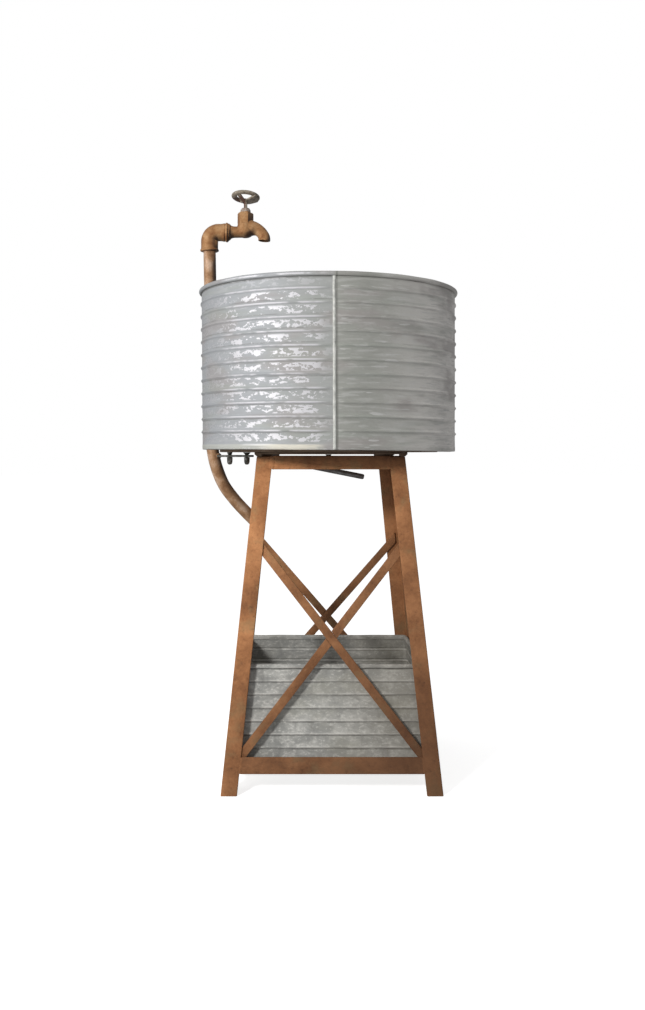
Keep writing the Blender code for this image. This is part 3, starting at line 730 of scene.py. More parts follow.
@dataclass(frozen=True)
class Rust(Finish):
    """An even brown rust on steel, with orange, brown and olive mottling."""

    deep: Colour = (0.200, 0.084, 0.036)
    middle: Colour = (0.385, 0.168, 0.070)
    bright: Colour = (0.560, 0.258, 0.112)
    olive: Colour = (0.330, 0.222, 0.108)
    pit: Colour = (0.085, 0.040, 0.022)
    fleck: Colour = (0.52, 0.30, 0.17)
    # Painted shade: darker low down and to the right, and under the tub at the top.
    low_shade: Colour = (0.060, 0.028, 0.016)
    top_shade: Colour = (0.035, 0.022, 0.017)
    tone_places: tuple[float, float, float] = (0.30, 0.48, 0.66)
    broad: Cloud = Cloud(15.0, 6.0, 0.60, 0.4)
    speck: Cloud = Cloud(210.0, 7.0, 0.68)
    speck_share: float = 0.30
    olive_clouds: Cloud = Cloud(24.0, 5.0, 0.6, band=(0.50, 0.68), share=0.55)
    pit_band: Band = (0.42, 0.26)
    pit_share: float = 0.55
    fleck_band: Band = (0.60, 0.74)
    fleck_share: float = 0.40
    # Bands of painted shade: to the right lower down, low down, and at the top under the tub.
    shaded_side: Band = (-0.14, 0.12)
    shaded_foot: Band = (0.50, 0.10)
    shaded_share: Band = (0.22, 0.42)
    low_shade_height: Band = (0.34, 0.0)
    low_shade_share: float = 0.32
    top_shade_height: Band = (0.502, 0.5145)
    top_shade_share: float = 0.32
    gloss: Band = (0.62, 0.92)
    metal: float = 0.10
    broad_relief: float = 0.6

    def paint(self, graph: Graph) -> dict[str, Value]:
        """Paint the mottling and fine specks, painted shade that darkens the bars low down and to
        the right, and painted shade at the top under the tub.

        Args:
            graph: The material's node tree.

        Returns:
            The values of the main shader's sockets.
        """
        plain = graph.place()
        height, across = graph.axis(plain, "Z"), graph.axis(plain, "X")
        broad, speck = graph.clouds(plain, self.broad), graph.clouds(plain, self.speck)
        tone = graph.ramp(broad.stirred(speck, self.speck_share), self.tone_places,
                          (self.deep, self.middle, self.bright))
        shaded = height.step(*self.shaded_foot).spread(*self.shaded_share)
        # Painted shade, darker low down and to the right.
        low_shade = height.step(*self.low_shade_height) * self.low_shade_share
        for mask, colour in ((graph.mask(graph.place(shift=(0.4, 0.9, 0.1)), self.olive_clouds),
                              self.olive),
                             (speck.step(*self.pit_band) * self.pit_share, self.pit),
                             (speck.step(*self.fleck_band) * self.fleck_share, self.fleck),
                             (low_shade + across.step(*self.shaded_side) * shaded, self.low_shade),
                             # Painted shade at the top, under the tub.
                             (height.step(*self.top_shade_height) * self.top_shade_share, self.top_shade)):
            tone = graph.blend(mask, tone, colour)
        relief = graph.bump(speck + broad * self.broad_relief, 0.0011, 0.75)
        return {"Base Color": tone, "Roughness": speck.spread(*self.gloss),
                "Metallic": self.metal, "Normal": relief}


@dataclass(frozen=True)
class Patina(Finish):
    """Brown patina on a smooth pipe or casting, rubbed lighter here and there, with painted shade
    on the faces turned right and down.
    """

    deep: Colour
    middle: Colour
    bright: Colour
    grain: float = 40.0
    shine: float = 0.42
    metal: float = 0.35
    # Painted shade laid on the faces turned right and down.
    grime_and_shade: Colour = (0.040, 0.026, 0.022)
    shade_share: float = 0.90
    shade_band: Band = (0.12, 0.70)
    tone_places: tuple[float, float, float] = (0.30, 0.50, 0.68)
    fine: Cloud = Cloud(420.0, 5.0, 0.65)
    fine_share: float = 0.24
    fine_relief: float = 0.5
    fine_gloss: float = 0.08
    duller: float = 0.12
    shinier: float = 0.06

    def tone(self, graph: Graph, broad: Sock, fine: Sock) -> Sock:
        """Colour the soft clouds of brown."""
        return graph.ramp(broad.stirred(fine, self.fine_share), self.tone_places,
                          (self.deep, self.middle, self.bright))

    def paint(self, graph: Graph) -> dict[str, Value]:
        """Paint soft clouds of brown, a fine grain and painted shade on the faces turned right and
        down.

        Args:
            graph: The material's node tree.

        Returns:
            The values of the main shader's sockets.
        """
        plain = graph.place()
        broad = graph.clouds(plain, Cloud(self.grain, 5.0, 0.58, 0.3))
        fine = graph.clouds(plain, self.fine)
        gloss = broad.spread(self.shine + self.duller, self.shine - self.shinier)
        lee = graph.node("ShaderNodeAttribute", {"attribute_name": SHADE_ATTRIBUTE}, output="Fac")
        # Painted shade on the faces turned right and down.
        tone = graph.blend(lee.step(*self.shade_band) * self.shade_share,
                           self.tone(graph, broad, fine), self.grime_and_shade)
        return {"Base Color": tone, "Roughness": gloss + fine * self.fine_gloss,
                "Metallic": self.metal,
                "Normal": graph.bump(fine * self.fine_relief + broad, 0.0007, 0.6)}


@dataclass(frozen=True)
class WheelMark:
    """A place on the handwheel: its heading from the hub, its reach and its half width."""

    heading: float
    near: Band
    far: Band
    side: Band


@dataclass(frozen=True)
class WheelPatina(Patina):
    """The handwheel's pale patina, with rust on one spoke, a painted shadow on part of the rim and
    a painted shadow on its right side.
    """

    # Rust on one spoke and painted shadow on the rim, then painted shadow on the right side.
    rust: Colour = (0.105, 0.038, 0.026)
    shadow: Colour = (0.045, 0.042, 0.030)
    hub: Point = (-0.1439, 0.1040)
    spoke: WheelMark = WheelMark(radians(233), (0.0015, 0.0035), (0.0185, 0.0160), (0.0042, 0.0030))
    # Painted shadow on the rim.
    rim: WheelMark = WheelMark(radians(150), (0.0145, 0.0165), (0.0238, 0.0222), (0.0130, 0.0085))
    rust_and_shadow_share: float = 0.85
    shadow_from: Band = (0.0150, 0.0225)
    shadow_share: float = 0.06

    def tone(self, graph: Graph, broad: Sock, fine: Sock) -> Sock:
        """Colour the clouds, then lay on the rust on one spoke, the painted shadow on the rim and
        the painted shadow on the right of the rim.

        Args:
            graph: The material's node tree.
            broad: The soft clouds.
            fine: The fine grain.

        Returns:
            The colour.
        """
        rust_and_rim_shadow = self.darkened(graph, self.spoke).peak(self.darkened(graph, self.rim))
        tone = graph.blend(rust_and_rim_shadow * self.rust_and_shadow_share, super().tone(graph, broad, fine), self.rust)
        # Painted shadow on the right side of the wheel.
        right = (graph.axis(graph.place(), "X") - self.hub[0]).step(*self.shadow_from)
        return graph.blend(right * self.shadow_share, tone, self.shadow)

    def darkened(self, graph: Graph, darkening: WheelMark) -> Sock:
        """Mask a dark place by the distance along its heading and to either side of it.

        Args:
            graph: The material's node tree.
            darkening: The place, which is the spoke's rust or the rim's painted shadow.

        Returns:
            The mask.
        """
        centre = Matrix.Rotation(-darkening.heading, 3, "Z") @ Vector((*self.hub, 0.0))
        turned = graph.place(turn=(0.0, 0.0, -darkening.heading), shift=tuple(-centre))
        reach, off = graph.axis(turned, "X"), graph.axis(turned, "Y").fold(1.0)
        return reach.step(*darkening.near) * reach.step(*darkening.far) * off.step(*darkening.side)


@dataclass(frozen=True)
class Plain(Finish):
    """A plain matt surface for the floor of the studio."""

    colour: Colour = (0.86, 0.86, 0.86)
    glow: float = 0.74
    gloss: float = 0.9

    def paint(self, graph: Graph) -> dict[str, Value]:
        """Give the even colour and its glow."""
        return {"Base Color": self.colour, "Roughness": self.gloss,
                "Emission Color": (1.0, 1.0, 1.0), "Emission Strength": self.glow}


class Palette:
    """Every material of the part, made once."""

    def __init__(self) -> None:
        """Make the materials."""
        self.tub = TubZinc("zinc_tub").make()
        self.seam = Patina("zinc_seam", (0.40, 0.41, 0.39), (0.56, 0.57, 0.54),
                           (0.72, 0.72, 0.69), grain=90.0, shine=0.50, metal=0.25).make()
        self.trough = TroughZinc("zinc_trough").make()
        self.rust = Rust("rust_stand").make()
        self.band = Rust("rust_dark", (0.115, 0.078, 0.052), (0.200, 0.138, 0.096),
                         (0.300, 0.208, 0.148), (0.200, 0.160, 0.112), top_shade_share=0.0).make()
        # Darker copy of the stand's rust for the bottom rails and braces: painted shade.
        self.bars = Rust("rust_bars", (0.155, 0.066, 0.029), (0.300, 0.134, 0.058),
                         (0.440, 0.206, 0.092), (0.280, 0.190, 0.095)).make()
        self.pipe = Patina("patina_pipe", (0.21, 0.100, 0.046), (0.42, 0.240, 0.130),
                           (0.66, 0.46, 0.33)).make()
        self.tap = Patina("patina_tap", (0.24, 0.098, 0.038), (0.43, 0.222, 0.096),
                          (0.57, 0.340, 0.172), grain=60.0).make()
        self.wheel = WheelPatina("patina_wheel", (0.15, 0.125, 0.095), (0.36, 0.310, 0.245),
                                 (0.60, 0.520, 0.425), grain=110.0, shine=0.40,
                                 shade_share=0.08).make()
        self.gland = Patina("patina_gland", (0.22, 0.155, 0.120), (0.40, 0.315, 0.260),
                            (0.56, 0.47, 0.41), grain=90.0).make()
        self.iron = Patina("iron_dark", (0.045, 0.043, 0.036), (0.170, 0.163, 0.142),
                           (0.46, 0.45, 0.43), grain=140.0, shine=0.40).make()
        self.spout = Patina("iron_spout", (0.13, 0.115, 0.105), (0.26, 0.25, 0.245),
                            (0.42, 0.42, 0.43), grain=50.0, shine=0.36, metal=0.5).make()


# Mesh building


def spun(profile: Iterable[Point], segments: int, closed: bool = False) -> bmesh.types.BMesh:
    """Turn a profile about the Z axis.

    Args:
        profile: Points as (radius, height).
        segments: Steps of the full turn.
        closed: Join the last point to the first, for a ring that doesn't reach the axis.

    Returns:
        The turned shape, its faces outwards.
    """
    bm = bmesh.new()
    points = [bm.verts.new((radius, 0.0, height)) for radius, height in profile]
    after = points[1:] + points[:1] if closed else points[1:]
    edges = [bm.edges.new(pair) for pair in zip(points, after)]
    bmesh.ops.spin(bm, geom=points + edges, cent=(0, 0, 0), axis=(0, 0, 1), angle=2 * pi,
                   steps=segments, use_merge=True)
    bmesh.ops.remove_doubles(bm, verts=bm.verts, dist=WELD_DISTANCE)
    bmesh.ops.recalc_face_normals(bm, faces=bm.faces)
    return bm


def stations(path: Sequence[Vector]) -> list[Matrix]:
    """Give each point of a path a frame whose Z runs along it and that doesn't twist.

    Args:
        path: Points of the path.

    Returns:
        One frame for each point.
    """
    frames = []
    direction = (path[1] - path[0]).normalized()
    turn = Vector((0, 0, 1)).rotation_difference(direction)
    for index, point in enumerate(path):
        ahead = path[min(index + 1, len(path) - 1)] - path[max(index - 1, 0)]
        ahead.normalize()
        turn = direction.rotation_difference(ahead) @ turn
        direction = ahead
        frames.append(Matrix.Translation(point) @ turn.to_matrix().to_4x4())
    return frames


def swept(path: Sequence[Vector], radii: Sequence[float], sides: int,
          flat: float = 1.0) -> bmesh.types.BMesh:
    """Sweep a round section along a path and close its ends.

    Args:
        path: Points of the centre line.
        radii: Radius at each point.
        sides: Sides of the section.
        flat: Thickness of the section in its own Y, as a share of its width.

    Returns:
        The closed tube.
    """
    bm = bmesh.new()
    frames = [frame @ Matrix.Diagonal((radius, radius * flat, radius, 1.0))
              for frame, radius in zip(stations(path), radii)]
    bmesh.ops.create_circle(bm, cap_ends=False, radius=1.0, segments=sides, matrix=frames[0])
    ring = list(bm.edges)
    for before, after in zip(frames, frames[1:]):
        grown = bmesh.ops.extrude_edge_only(bm, edges=ring)["geom"]
        bmesh.ops.transform(bm, matrix=after @ before.inverted(), verts=picked(grown, "verts"))
        ring = picked(grown, "edges")
    cap(bm)
    bmesh.ops.recalc_face_normals(bm, faces=bm.faces)
    return bm


def picked(geometry: Sequence, kind: str) -> list:
    """Pick the "verts" or the "edges" out of what an operator gives back."""
    wanted = bmesh.types.BMVert if kind == "verts" else bmesh.types.BMEdge
    return [item for item in geometry if isinstance(item, wanted)]


def cap(bm: bmesh.types.BMesh) -> None:
    """Close every open end."""
    bmesh.ops.holes_fill(bm, edges=[edge for edge in bm.edges if edge.is_boundary], sides=0)


def curve_through(points: Sequence[Vector], steps: int) -> list[Vector]:
    """Read a smooth path through some points, as a Catmull-Rom curve.

    Args:
        points: The points.
        steps: Steps between two of them.

    Returns:
        The path.
    """
    ends = [2 * points[0] - points[1], *points, 2 * points[-1] - points[-2]]
    path = []
    for before, start, stop, after in zip(ends, ends[1:], ends[2:], ends[3:]):
        for index in range(steps):
            t = index / steps
            path.append(0.5 * (2 * start + (stop - before) * t
                               + (2 * before - 5 * start + 4 * stop - after) * t ** 2
                               + (3 * start - before - 3 * stop + after) * t ** 3))
    path.append(points[-1].copy())
    return path


def soften(bm: bmesh.types.BMesh, width: float, segments: int = 2,
           angle: float = radians(28)) -> None:
    """Round every edge that is sharper than an angle.

    Args:
        bm: The mesh, changed in place.
        width: Width of the rounding.
        segments: Its steps.
        angle: Edges flatter than this stay.
    """
    sharp = [edge for edge in bm.edges
             if len(edge.link_faces) == 2 and edge.calc_face_angle(0.0) > angle]
    bmesh.ops.bevel(bm, geom=sharp, offset=width, offset_type="OFFSET", segments=segments,
                    profile=0.5, affect="EDGES", clamp_overlap=True, material=-1)


@dataclass(frozen=True)
class Dents:
    """Soft unevenness of a surface: its greatest push, its size, its seed and its stretch."""

    amount: float
    pitch: float
    seed: float
    stretch: tuple[float, float, float] = (1.0, 1.0, 1.0)

    def press(self, bm: bmesh.types.BMesh) -> None:
        """Push a mesh in and out along its normals by smooth noise.

        Args:
            bm: The mesh, moved in place.
        """
        bm.normal_update()
        start = Vector((self.seed, self.seed * 0.7, self.seed * 1.3))
        for vertex in bm.verts:
            spot = Vector(a * b for a, b in zip(vertex.co, self.stretch)) / self.pitch + start
            vertex.co += vertex.normal * self.amount * noise.noise(spot)


def ease(value: float, low: float, high: float) -> float:
    """Rise smoothly from 0 at low to 1 at high."""
    t = min(max((value - low) / (high - low), 0.0), 1.0)
    return t * t * (3 - 2 * t)


def merged(parts: Sequence[bmesh.types.BMesh]) -> bmesh.types.BMesh:
    """Put several meshes into one.

    Args:
        parts: The meshes, which are freed.

    Returns:
        The one mesh.
    """
    whole = bmesh.new()
    for part in parts:
        carrier = bpy.data.meshes.new("carrier")
        part.to_mesh(carrier)
        part.free()
        whole.from_mesh(carrier)
        bpy.data.meshes.remove(carrier)
    return whole


def copied(node: bpy.types.Object) -> bmesh.types.BMesh:
    """Copy a CAD node's mesh, merge its loose triangles and join its flat faces.

    Args:
        node: The CAD node, left as it is.

    Returns:
        The copy.
    """
    bm = bmesh.new()
    bm.from_mesh(node.data)
    bmesh.ops.remove_doubles(bm, verts=bm.verts, dist=WELD_DISTANCE)
    bmesh.ops.dissolve_limit(bm, angle_limit=radians(1.0), use_dissolve_boundaries=False,
                             verts=bm.verts, edges=bm.edges)
    return bm


def mark_shade_side(mesh: bpy.types.Mesh) -> None:
    """Note on each vertex how far it faces right and down, where painted shade is laid on.

    Args:
        mesh: The mesh that gets the attribute.
    """
    lee = mesh.attributes.get(SHADE_ATTRIBUTE) or mesh.attributes.new(SHADE_ATTRIBUTE, "FLOAT", "POINT")
    for vertex, mark in zip(mesh.vertices, lee.data):
        mark.value = max(vertex.normal.dot(SHADE_DIRECTION), 0.0)


def set_down(name: str, bm: bmesh.types.BMesh, material: bpy.types.Material, slot: Slot,
             stands_for: Sequence[str] = (), body: Body = Body.STAND,
             smooth: float = radians(38)) -> bpy.types.Object:
    """Write a mesh to a finished piece and put it on its body.

    Args:
        name: The piece's name.
        bm: Its mesh, which is freed.
        material: Its finish.
        slot: The record's slot for it.
        stands_for: CAD nodes that it replaces.
        body: The body that it rides on.
        smooth: Edges sharper than this stay sharp.

    Returns:
        The new object, at the origin.
    """
    mesh = bpy.data.meshes.new(name)
    bm.to_mesh(mesh)
    bm.free()
    mesh.materials.append(material)
    mesh.shade_smooth()
    mesh.set_sharp_from_angle(angle=smooth)
    # Pipe and tap pieces get the attribute that places their painted shade.
    if slot in (Slot.PIPE, Slot.BRASS):
        mark_shade_side(mesh)
    made = bpy.data.objects.new(name, mesh)
    bpy.context.collection.objects.link(made)
    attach(made, body.value)
    if stands_for:
        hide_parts(*stands_for)
    log.info("%s: %d faces", name, len(mesh.polygons))
    return made


def melt(made: bpy.types.Object, voxel: float, rounds: int) -> None:
    """Add the modifiers that melt a piece's overlapping shapes into one smooth casting.

    Args:
        made: The piece.
        voxel: Size of the remesh.
        rounds: Rounds of smoothing after it.
    """
    remesh = made.modifiers.new("melt", "REMESH")
    remesh.mode, remesh.voxel_size, remesh.use_smooth_shade = "VOXEL", voxel, True
    even = made.modifiers.new("even", "SMOOTH")
    even.factor, even.iterations = 0.5, rounds


def settle(made: bpy.types.Object, smooth: float) -> None:
    """Apply a piece's modifiers to its mesh.

    Args:
        made: The piece.
        smooth: Edges sharper than this stay sharp.
    """
    graph = bpy.context.evaluated_depsgraph_get()
    done = bpy.data.meshes.new_from_object(made.evaluated_get(graph),
                                           preserve_all_data_layers=True, depsgraph=graph)
    old = made.data
    made.modifiers.clear()
    made.data = done
    if not done.materials:
        done.materials.append(old.materials[0])
    done.shade_smooth()
    done.set_sharp_from_angle(angle=smooth)
    # Mark where the painted shade goes.
    mark_shade_side(done)
    name = old.name
    bpy.data.meshes.remove(old)
    done.name = name
    log.info("%s settled: %d faces", made.name, len(done.polygons))


def bead_profile(centre: float, offset: float, radius: float, sweep: tuple[float, float],
                 steps: int) -> list[Point]:
    """Draw a rolled edge, from its outer foot over the top to its inner foot.

    Args:
        centre: Height of its middle.
        offset: Its middle's distance out.
        radius: Its radius.
        sweep: First and last angle, in degrees.
        steps: Number of points.

    Returns:
        Points as (out, height).
    """
    start, stop = sweep
    turns = [radians(start + (stop - start) * index / (steps - 1)) for index in range(steps)]
    return [(offset + radius * cos(turn), centre + radius * sin(turn)) for turn in turns]


# Sub-assemblies


@dataclass
class Assembly:
    """What every sub-assembly is given: the finishes and the frame's CAD nodes."""

    palette: Palette
    nodes: Nodes

    def build(self) -> None:
        """Build every piece."""
        raise NotImplementedError


@dataclass
class Tub(Assembly):
    """The round tub: ribbed wall with hem and rolled rim, lock seam, floor, plate and drain."""

    segments: int = 256
    foot_radius: float = 0.2092
    top_radius: float = 0.2102
    sheet: float = 0.0012
    hem_foot: float = 0.0016
    hem: tuple[Point, ...] = ((-0.0010, 0.0), (-0.0004, 0.0002), (0.0001, 0.0008),
                              (0.0003, 0.0018), (0.0003, 0.0074), (0.0, 0.0084))
    rim_centre: float = 0.2617
    rim_radius: float = 0.0036
    rim_offset: float = 0.0006
    dents: Dents = Dents(0.00042, 0.045, 3.1, (1.0, 1.0, 1.8))
    seam_shift: float = 0.0032
    seam_width: float = 0.0046
    seam_flat: float = 0.62
    seam_steps: int = 60
    seam_gap: tuple[float, float] = (0.004, 0.013)
    wobble: float = 0.00025
    wobble_rate: float = 60.0
    swell: float = 0.10
    swell_rate: float = 90.0
    play: float = 0.0003
    ring_inset: float = 0.030
    ring_half: float = 0.006
    ring_rise: float = 0.0016
    floor_edge: float = 0.0004
    base_radius: float = 0.181
    base_height: float = 0.0037
    base_edge: float = 0.0006
    seat_half: float = 0.1193
    seat_top: float = 0.5208
    drain_radius: float = 0.0045
    drain_inlet_x: float = -0.0892
    drain_mouth: Vector = Vector((0.0591, 0.0, 0.4797))
    drain_slope: float = 0.20
    drain_bend: float = 0.009
    drain_lip: tuple[Point, ...] = ((0.0034, 1.0), (0.0022, 0.96), (0.0012, 0.88),
                                    (0.0005, 0.76), (0.0, 0.64))
    drain_sheet: float = 0.0007
    drain_depth: float = 0.014

    @property
    def neck(self) -> float:
        """Height at which the rolled rim starts."""
        return self.rim_centre - self.rim_radius

    def radius_at(self, height: float) -> float:
        """Outer radius of the plain wall at a height."""
        return self.foot_radius + (self.top_radius - self.foot_radius) * height / self.rim_centre

    def wall_profile(self) -> list[Point]:
        """Draw the section of the wall, up the outside and down the inside.

        Returns:
            Points as (radius, height).
        """
        ribs, foot = TUB_RIBS.profile(), self.hem_foot
        rim = bead_profile(self.rim_centre, self.rim_offset, self.rim_radius, (-118, 205), 22)
        outside = [(out, foot + up) for out, up in self.hem] + ribs
        outside += [(0.0, self.neck - 0.0020), (0.0, self.neck - 0.0002)] + rim
        inside = [(out * 0.9 - self.sheet, height) for out, height in reversed(ribs)]
        inside += [(-self.sheet, foot + self.sheet), (-self.sheet, foot)]
        return [(self.radius_at(height) + out, height) for out, height in outside + inside]

    def wall(self) -> None:
        """Spin the wall, fade the ribs at the seam and give the sheet its soft dents."""
        bm = spun(self.wall_profile(), self.segments, closed=True)
        for vertex in bm.verts:
            x, y, height = vertex.co
            if y < 0.0 and height < self.neck:
                plain = self.radius_at(height)
                radius = Vector((x, y)).length
                rib = max(radius - plain, 0.0) if radius > plain - self.sheet / 2 else 0.0
                fade = 1.0 - ease(abs(x - self.seam_shift), *self.seam_gap)
                vertex.co.xy *= (radius - rib * fade) / radius
        self.dents.press(bm)
        bm.transform(TUB_SEAT.matrix())
        set_down("tub_sheet", bm, self.palette.tub, Slot.ZINC, ["tub_wall"], smooth=SHEET_SMOOTH)

    def seam(self) -> None:
        """Sweep the flattened lock seam, a rounded ridge from the hem up to the rim."""
        low, high = self.hem_foot + 0.0010, self.neck + 0.0004
        path, radii = [], []
        for index in range(self.seam_steps + 1):
            height = low + (high - low) * index / self.seam_steps
            wobble = self.wobble * noise.noise(Vector((0.0, 4.0, height * self.wobble_rate)))
            swell = self.swell * noise.noise(Vector((7.0, 0.0, height * self.swell_rate)))
            path.append(Vector((self.seam_shift + wobble, -self.radius_at(height) - 0.0002,
                                height)))
            radii.append(self.seam_width / 2 * (1.0 + swell))
        bm = swept(path, radii, 16, self.seam_flat)
        bm.transform(TUB_SEAT.matrix())
        set_down("tub_lock_seam", bm, self.palette.seam, Slot.ZINC, ["tub_seam"])

    def floor(self) -> None:
        """Spin the floor with its pressed ring."""
        radius = self.radius_at(self.hem_foot) - self.sheet - self.play
        foot = self.base_height + self.play
        top = foot + self.sheet
        ring = [(radius - self.ring_inset + self.ring_half * cos(turn),
                 top + self.ring_rise * sin(turn))
                for turn in (pi * index / 8 for index in range(9))]
        bm = spun([(0.0, foot), (radius - self.floor_edge, foot), (radius, foot + self.floor_edge),
                   (radius, top), *ring, (0.0, top)], self.segments // 2)
        bm.transform(TUB_SEAT.matrix())
        set_down("tub_bottom", bm, self.palette.tub, Slot.ZINC, ["tub_floor"])

    def plate(self) -> None:
        """Spin the dark plate under the floor, a thin wedge on the level seat bars."""
        radius, height, edge = self.base_radius, self.base_height, self.base_edge
        bm = spun([(0.0, 0.0), (radius - edge, 0.0), (radius, edge), (radius, height - edge),
                   (radius - edge, height), (0.0, height)], self.segments // 2)
        for vertex in bm.verts:
            if vertex.co.z < height / 2:
                vertex.co.z += (vertex.co.x - self.seat_half) * tan(TUB_SEAT.lean)
        bm.transform(TUB_SEAT.matrix())
        set_down("base_plate", bm, self.palette.band, Slot.IRON, ["tub_base"])

    def drain(self) -> None:
        """Sweep the drain tube and sink its open mouth."""
        run = Vector((1.0, 0.0, -self.drain_slope)).normalized()
        mouth = self.drain_mouth
        knee = mouth - run * ((mouth.x - self.drain_inlet_x) / run.x)
        start, stop = knee + Vector((0, 0, self.drain_bend)), knee + run * self.drain_bend
        path = [Vector((self.drain_inlet_x, 0.0, self.seat_top + 0.0002))]
        path += [(1 - t) ** 2 * start + 2 * t * (1 - t) * knee + t ** 2 * stop
                 for t in (index / 10 for index in range(11))]
        path += [stop.lerp(mouth, t) for t in (0.3, 0.6)]
        radii = [self.drain_radius] * len(path)
        for back, share in self.drain_lip:
            path.append(mouth - run * back)
            radii.append(self.drain_radius * share)
        bm = swept(path, radii, 24)
        end = min(bm.faces, key=lambda face: (face.calc_center_median() - mouth).length)
        bmesh.ops.inset_region(bm, faces=[end], thickness=self.drain_sheet, use_even_offset=True)
        sunk = bmesh.ops.extrude_face_region(bm, geom=[end])["geom"]
        bmesh.ops.delete(bm, geom=[end], context="FACES_ONLY")
        bmesh.ops.translate(bm, verts=picked(sunk, "verts"), vec=-run * self.drain_depth)
        set_down("drain_tube", bm, self.palette.spout, Slot.ZINC, ["drain_spout"])

    def build(self) -> None:
        """Build the whole tub."""
        self.wall()
        self.seam()
        self.floor()
        self.plate()
        self.drain()


@dataclass
class Trough(Assembly):
    """The ribbed trough low in the stand, one sheet with rounded corners and a rolled edge."""

    top: float = 0.1897
    foot: float = 0.0359
    half_width: float = 0.1413
    half_depth: float = 0.1305
    flare: float = 0.1029
    sheet: float = 0.0012
    bead_radius: float = 0.0036
    corner: float = 0.004
    corner_steps: int = 7
    wall_steps: int = 26
    dents: Dents = Dents(0.00045, 0.040, 8.4, (1.0, 1.0, 1.6))

    def profile(self) -> list[Point]:
        """Draw the section of the wall, up the outside and down the inside.

        Returns:
            Points as (out, height).
        """
        ribs = TROUGH_RIBS.profile()
        bead = bead_profile(self.top, 0.0, self.bead_radius, (-115, 205), 20)
        neck = self.top - self.bead_radius
        outside = [(0.0, self.foot), *ribs, (0.0, neck - 0.0015), *bead]
        inside = [(out * 0.9 - self.sheet, height) for out, height in reversed(ribs)]
        inside.append((-self.sheet, self.foot))
        return [(out + self.flare * (self.top - height), height)
                for out, height in outside + inside]

    def shell(self) -> None:
        """Carry the section once round the rounded corners and along the four walls."""
        bm = bmesh.new()
        across, along = self.half_width - self.corner, self.half_depth - self.corner
        points = [bm.verts.new((self.half_width + out, -along, height))
                  for out, height in self.profile()]
        line = [bm.edges.new(pair) for pair in zip(points, points[1:] + points[:1])]
        turns = ((across, along), (-across, along), (-across, -along), (across, -along))
        runs = ((0, 2 * along), (-2 * across, 0), (0, -2 * along), (2 * across, 0))
        for run, centre in zip(runs, turns):
            for _ in range(self.wall_steps):
                grown = bmesh.ops.extrude_edge_only(bm, edges=line)["geom"]
                bmesh.ops.translate(bm, verts=picked(grown, "verts"),
                                    vec=Vector((*run, 0.0)) / self.wall_steps)
                line = picked(grown, "edges")
            corners = list({vertex for edge in line for vertex in edge.verts})
            last = bmesh.ops.spin(bm, geom=corners + line, cent=(*centre, 0.0), axis=(0, 0, 1),
                                  angle=pi / 2, steps=self.corner_steps)["geom_last"]
            line = picked(last, "edges")
        bmesh.ops.remove_doubles(bm, verts=bm.verts, dist=10 * WELD_DISTANCE)
        bmesh.ops.recalc_face_normals(bm, faces=bm.faces)
        self.dents.press(bm)
        set_down("trough_sheet", bm, self.palette.trough, Slot.ZINC,
                 [f"trough_{side}" for side in SIDES], smooth=SHEET_SMOOTH)

    def floor(self) -> None:
        """Give the carried-over floor its finish."""
        materials = self.nodes["trough_floor"].data.materials
        materials.clear()
        materials.append(self.palette.trough)

    def build(self) -> None:
        """Build the whole trough."""
        self.shell()
        self.floor()


@dataclass(frozen=True)
class Bead:
    """A weld bead: its two ends, half its width, and how far it lies aside and stands proud."""

    foot: float
    head: float
    width: float
    aside: float
    proud: float


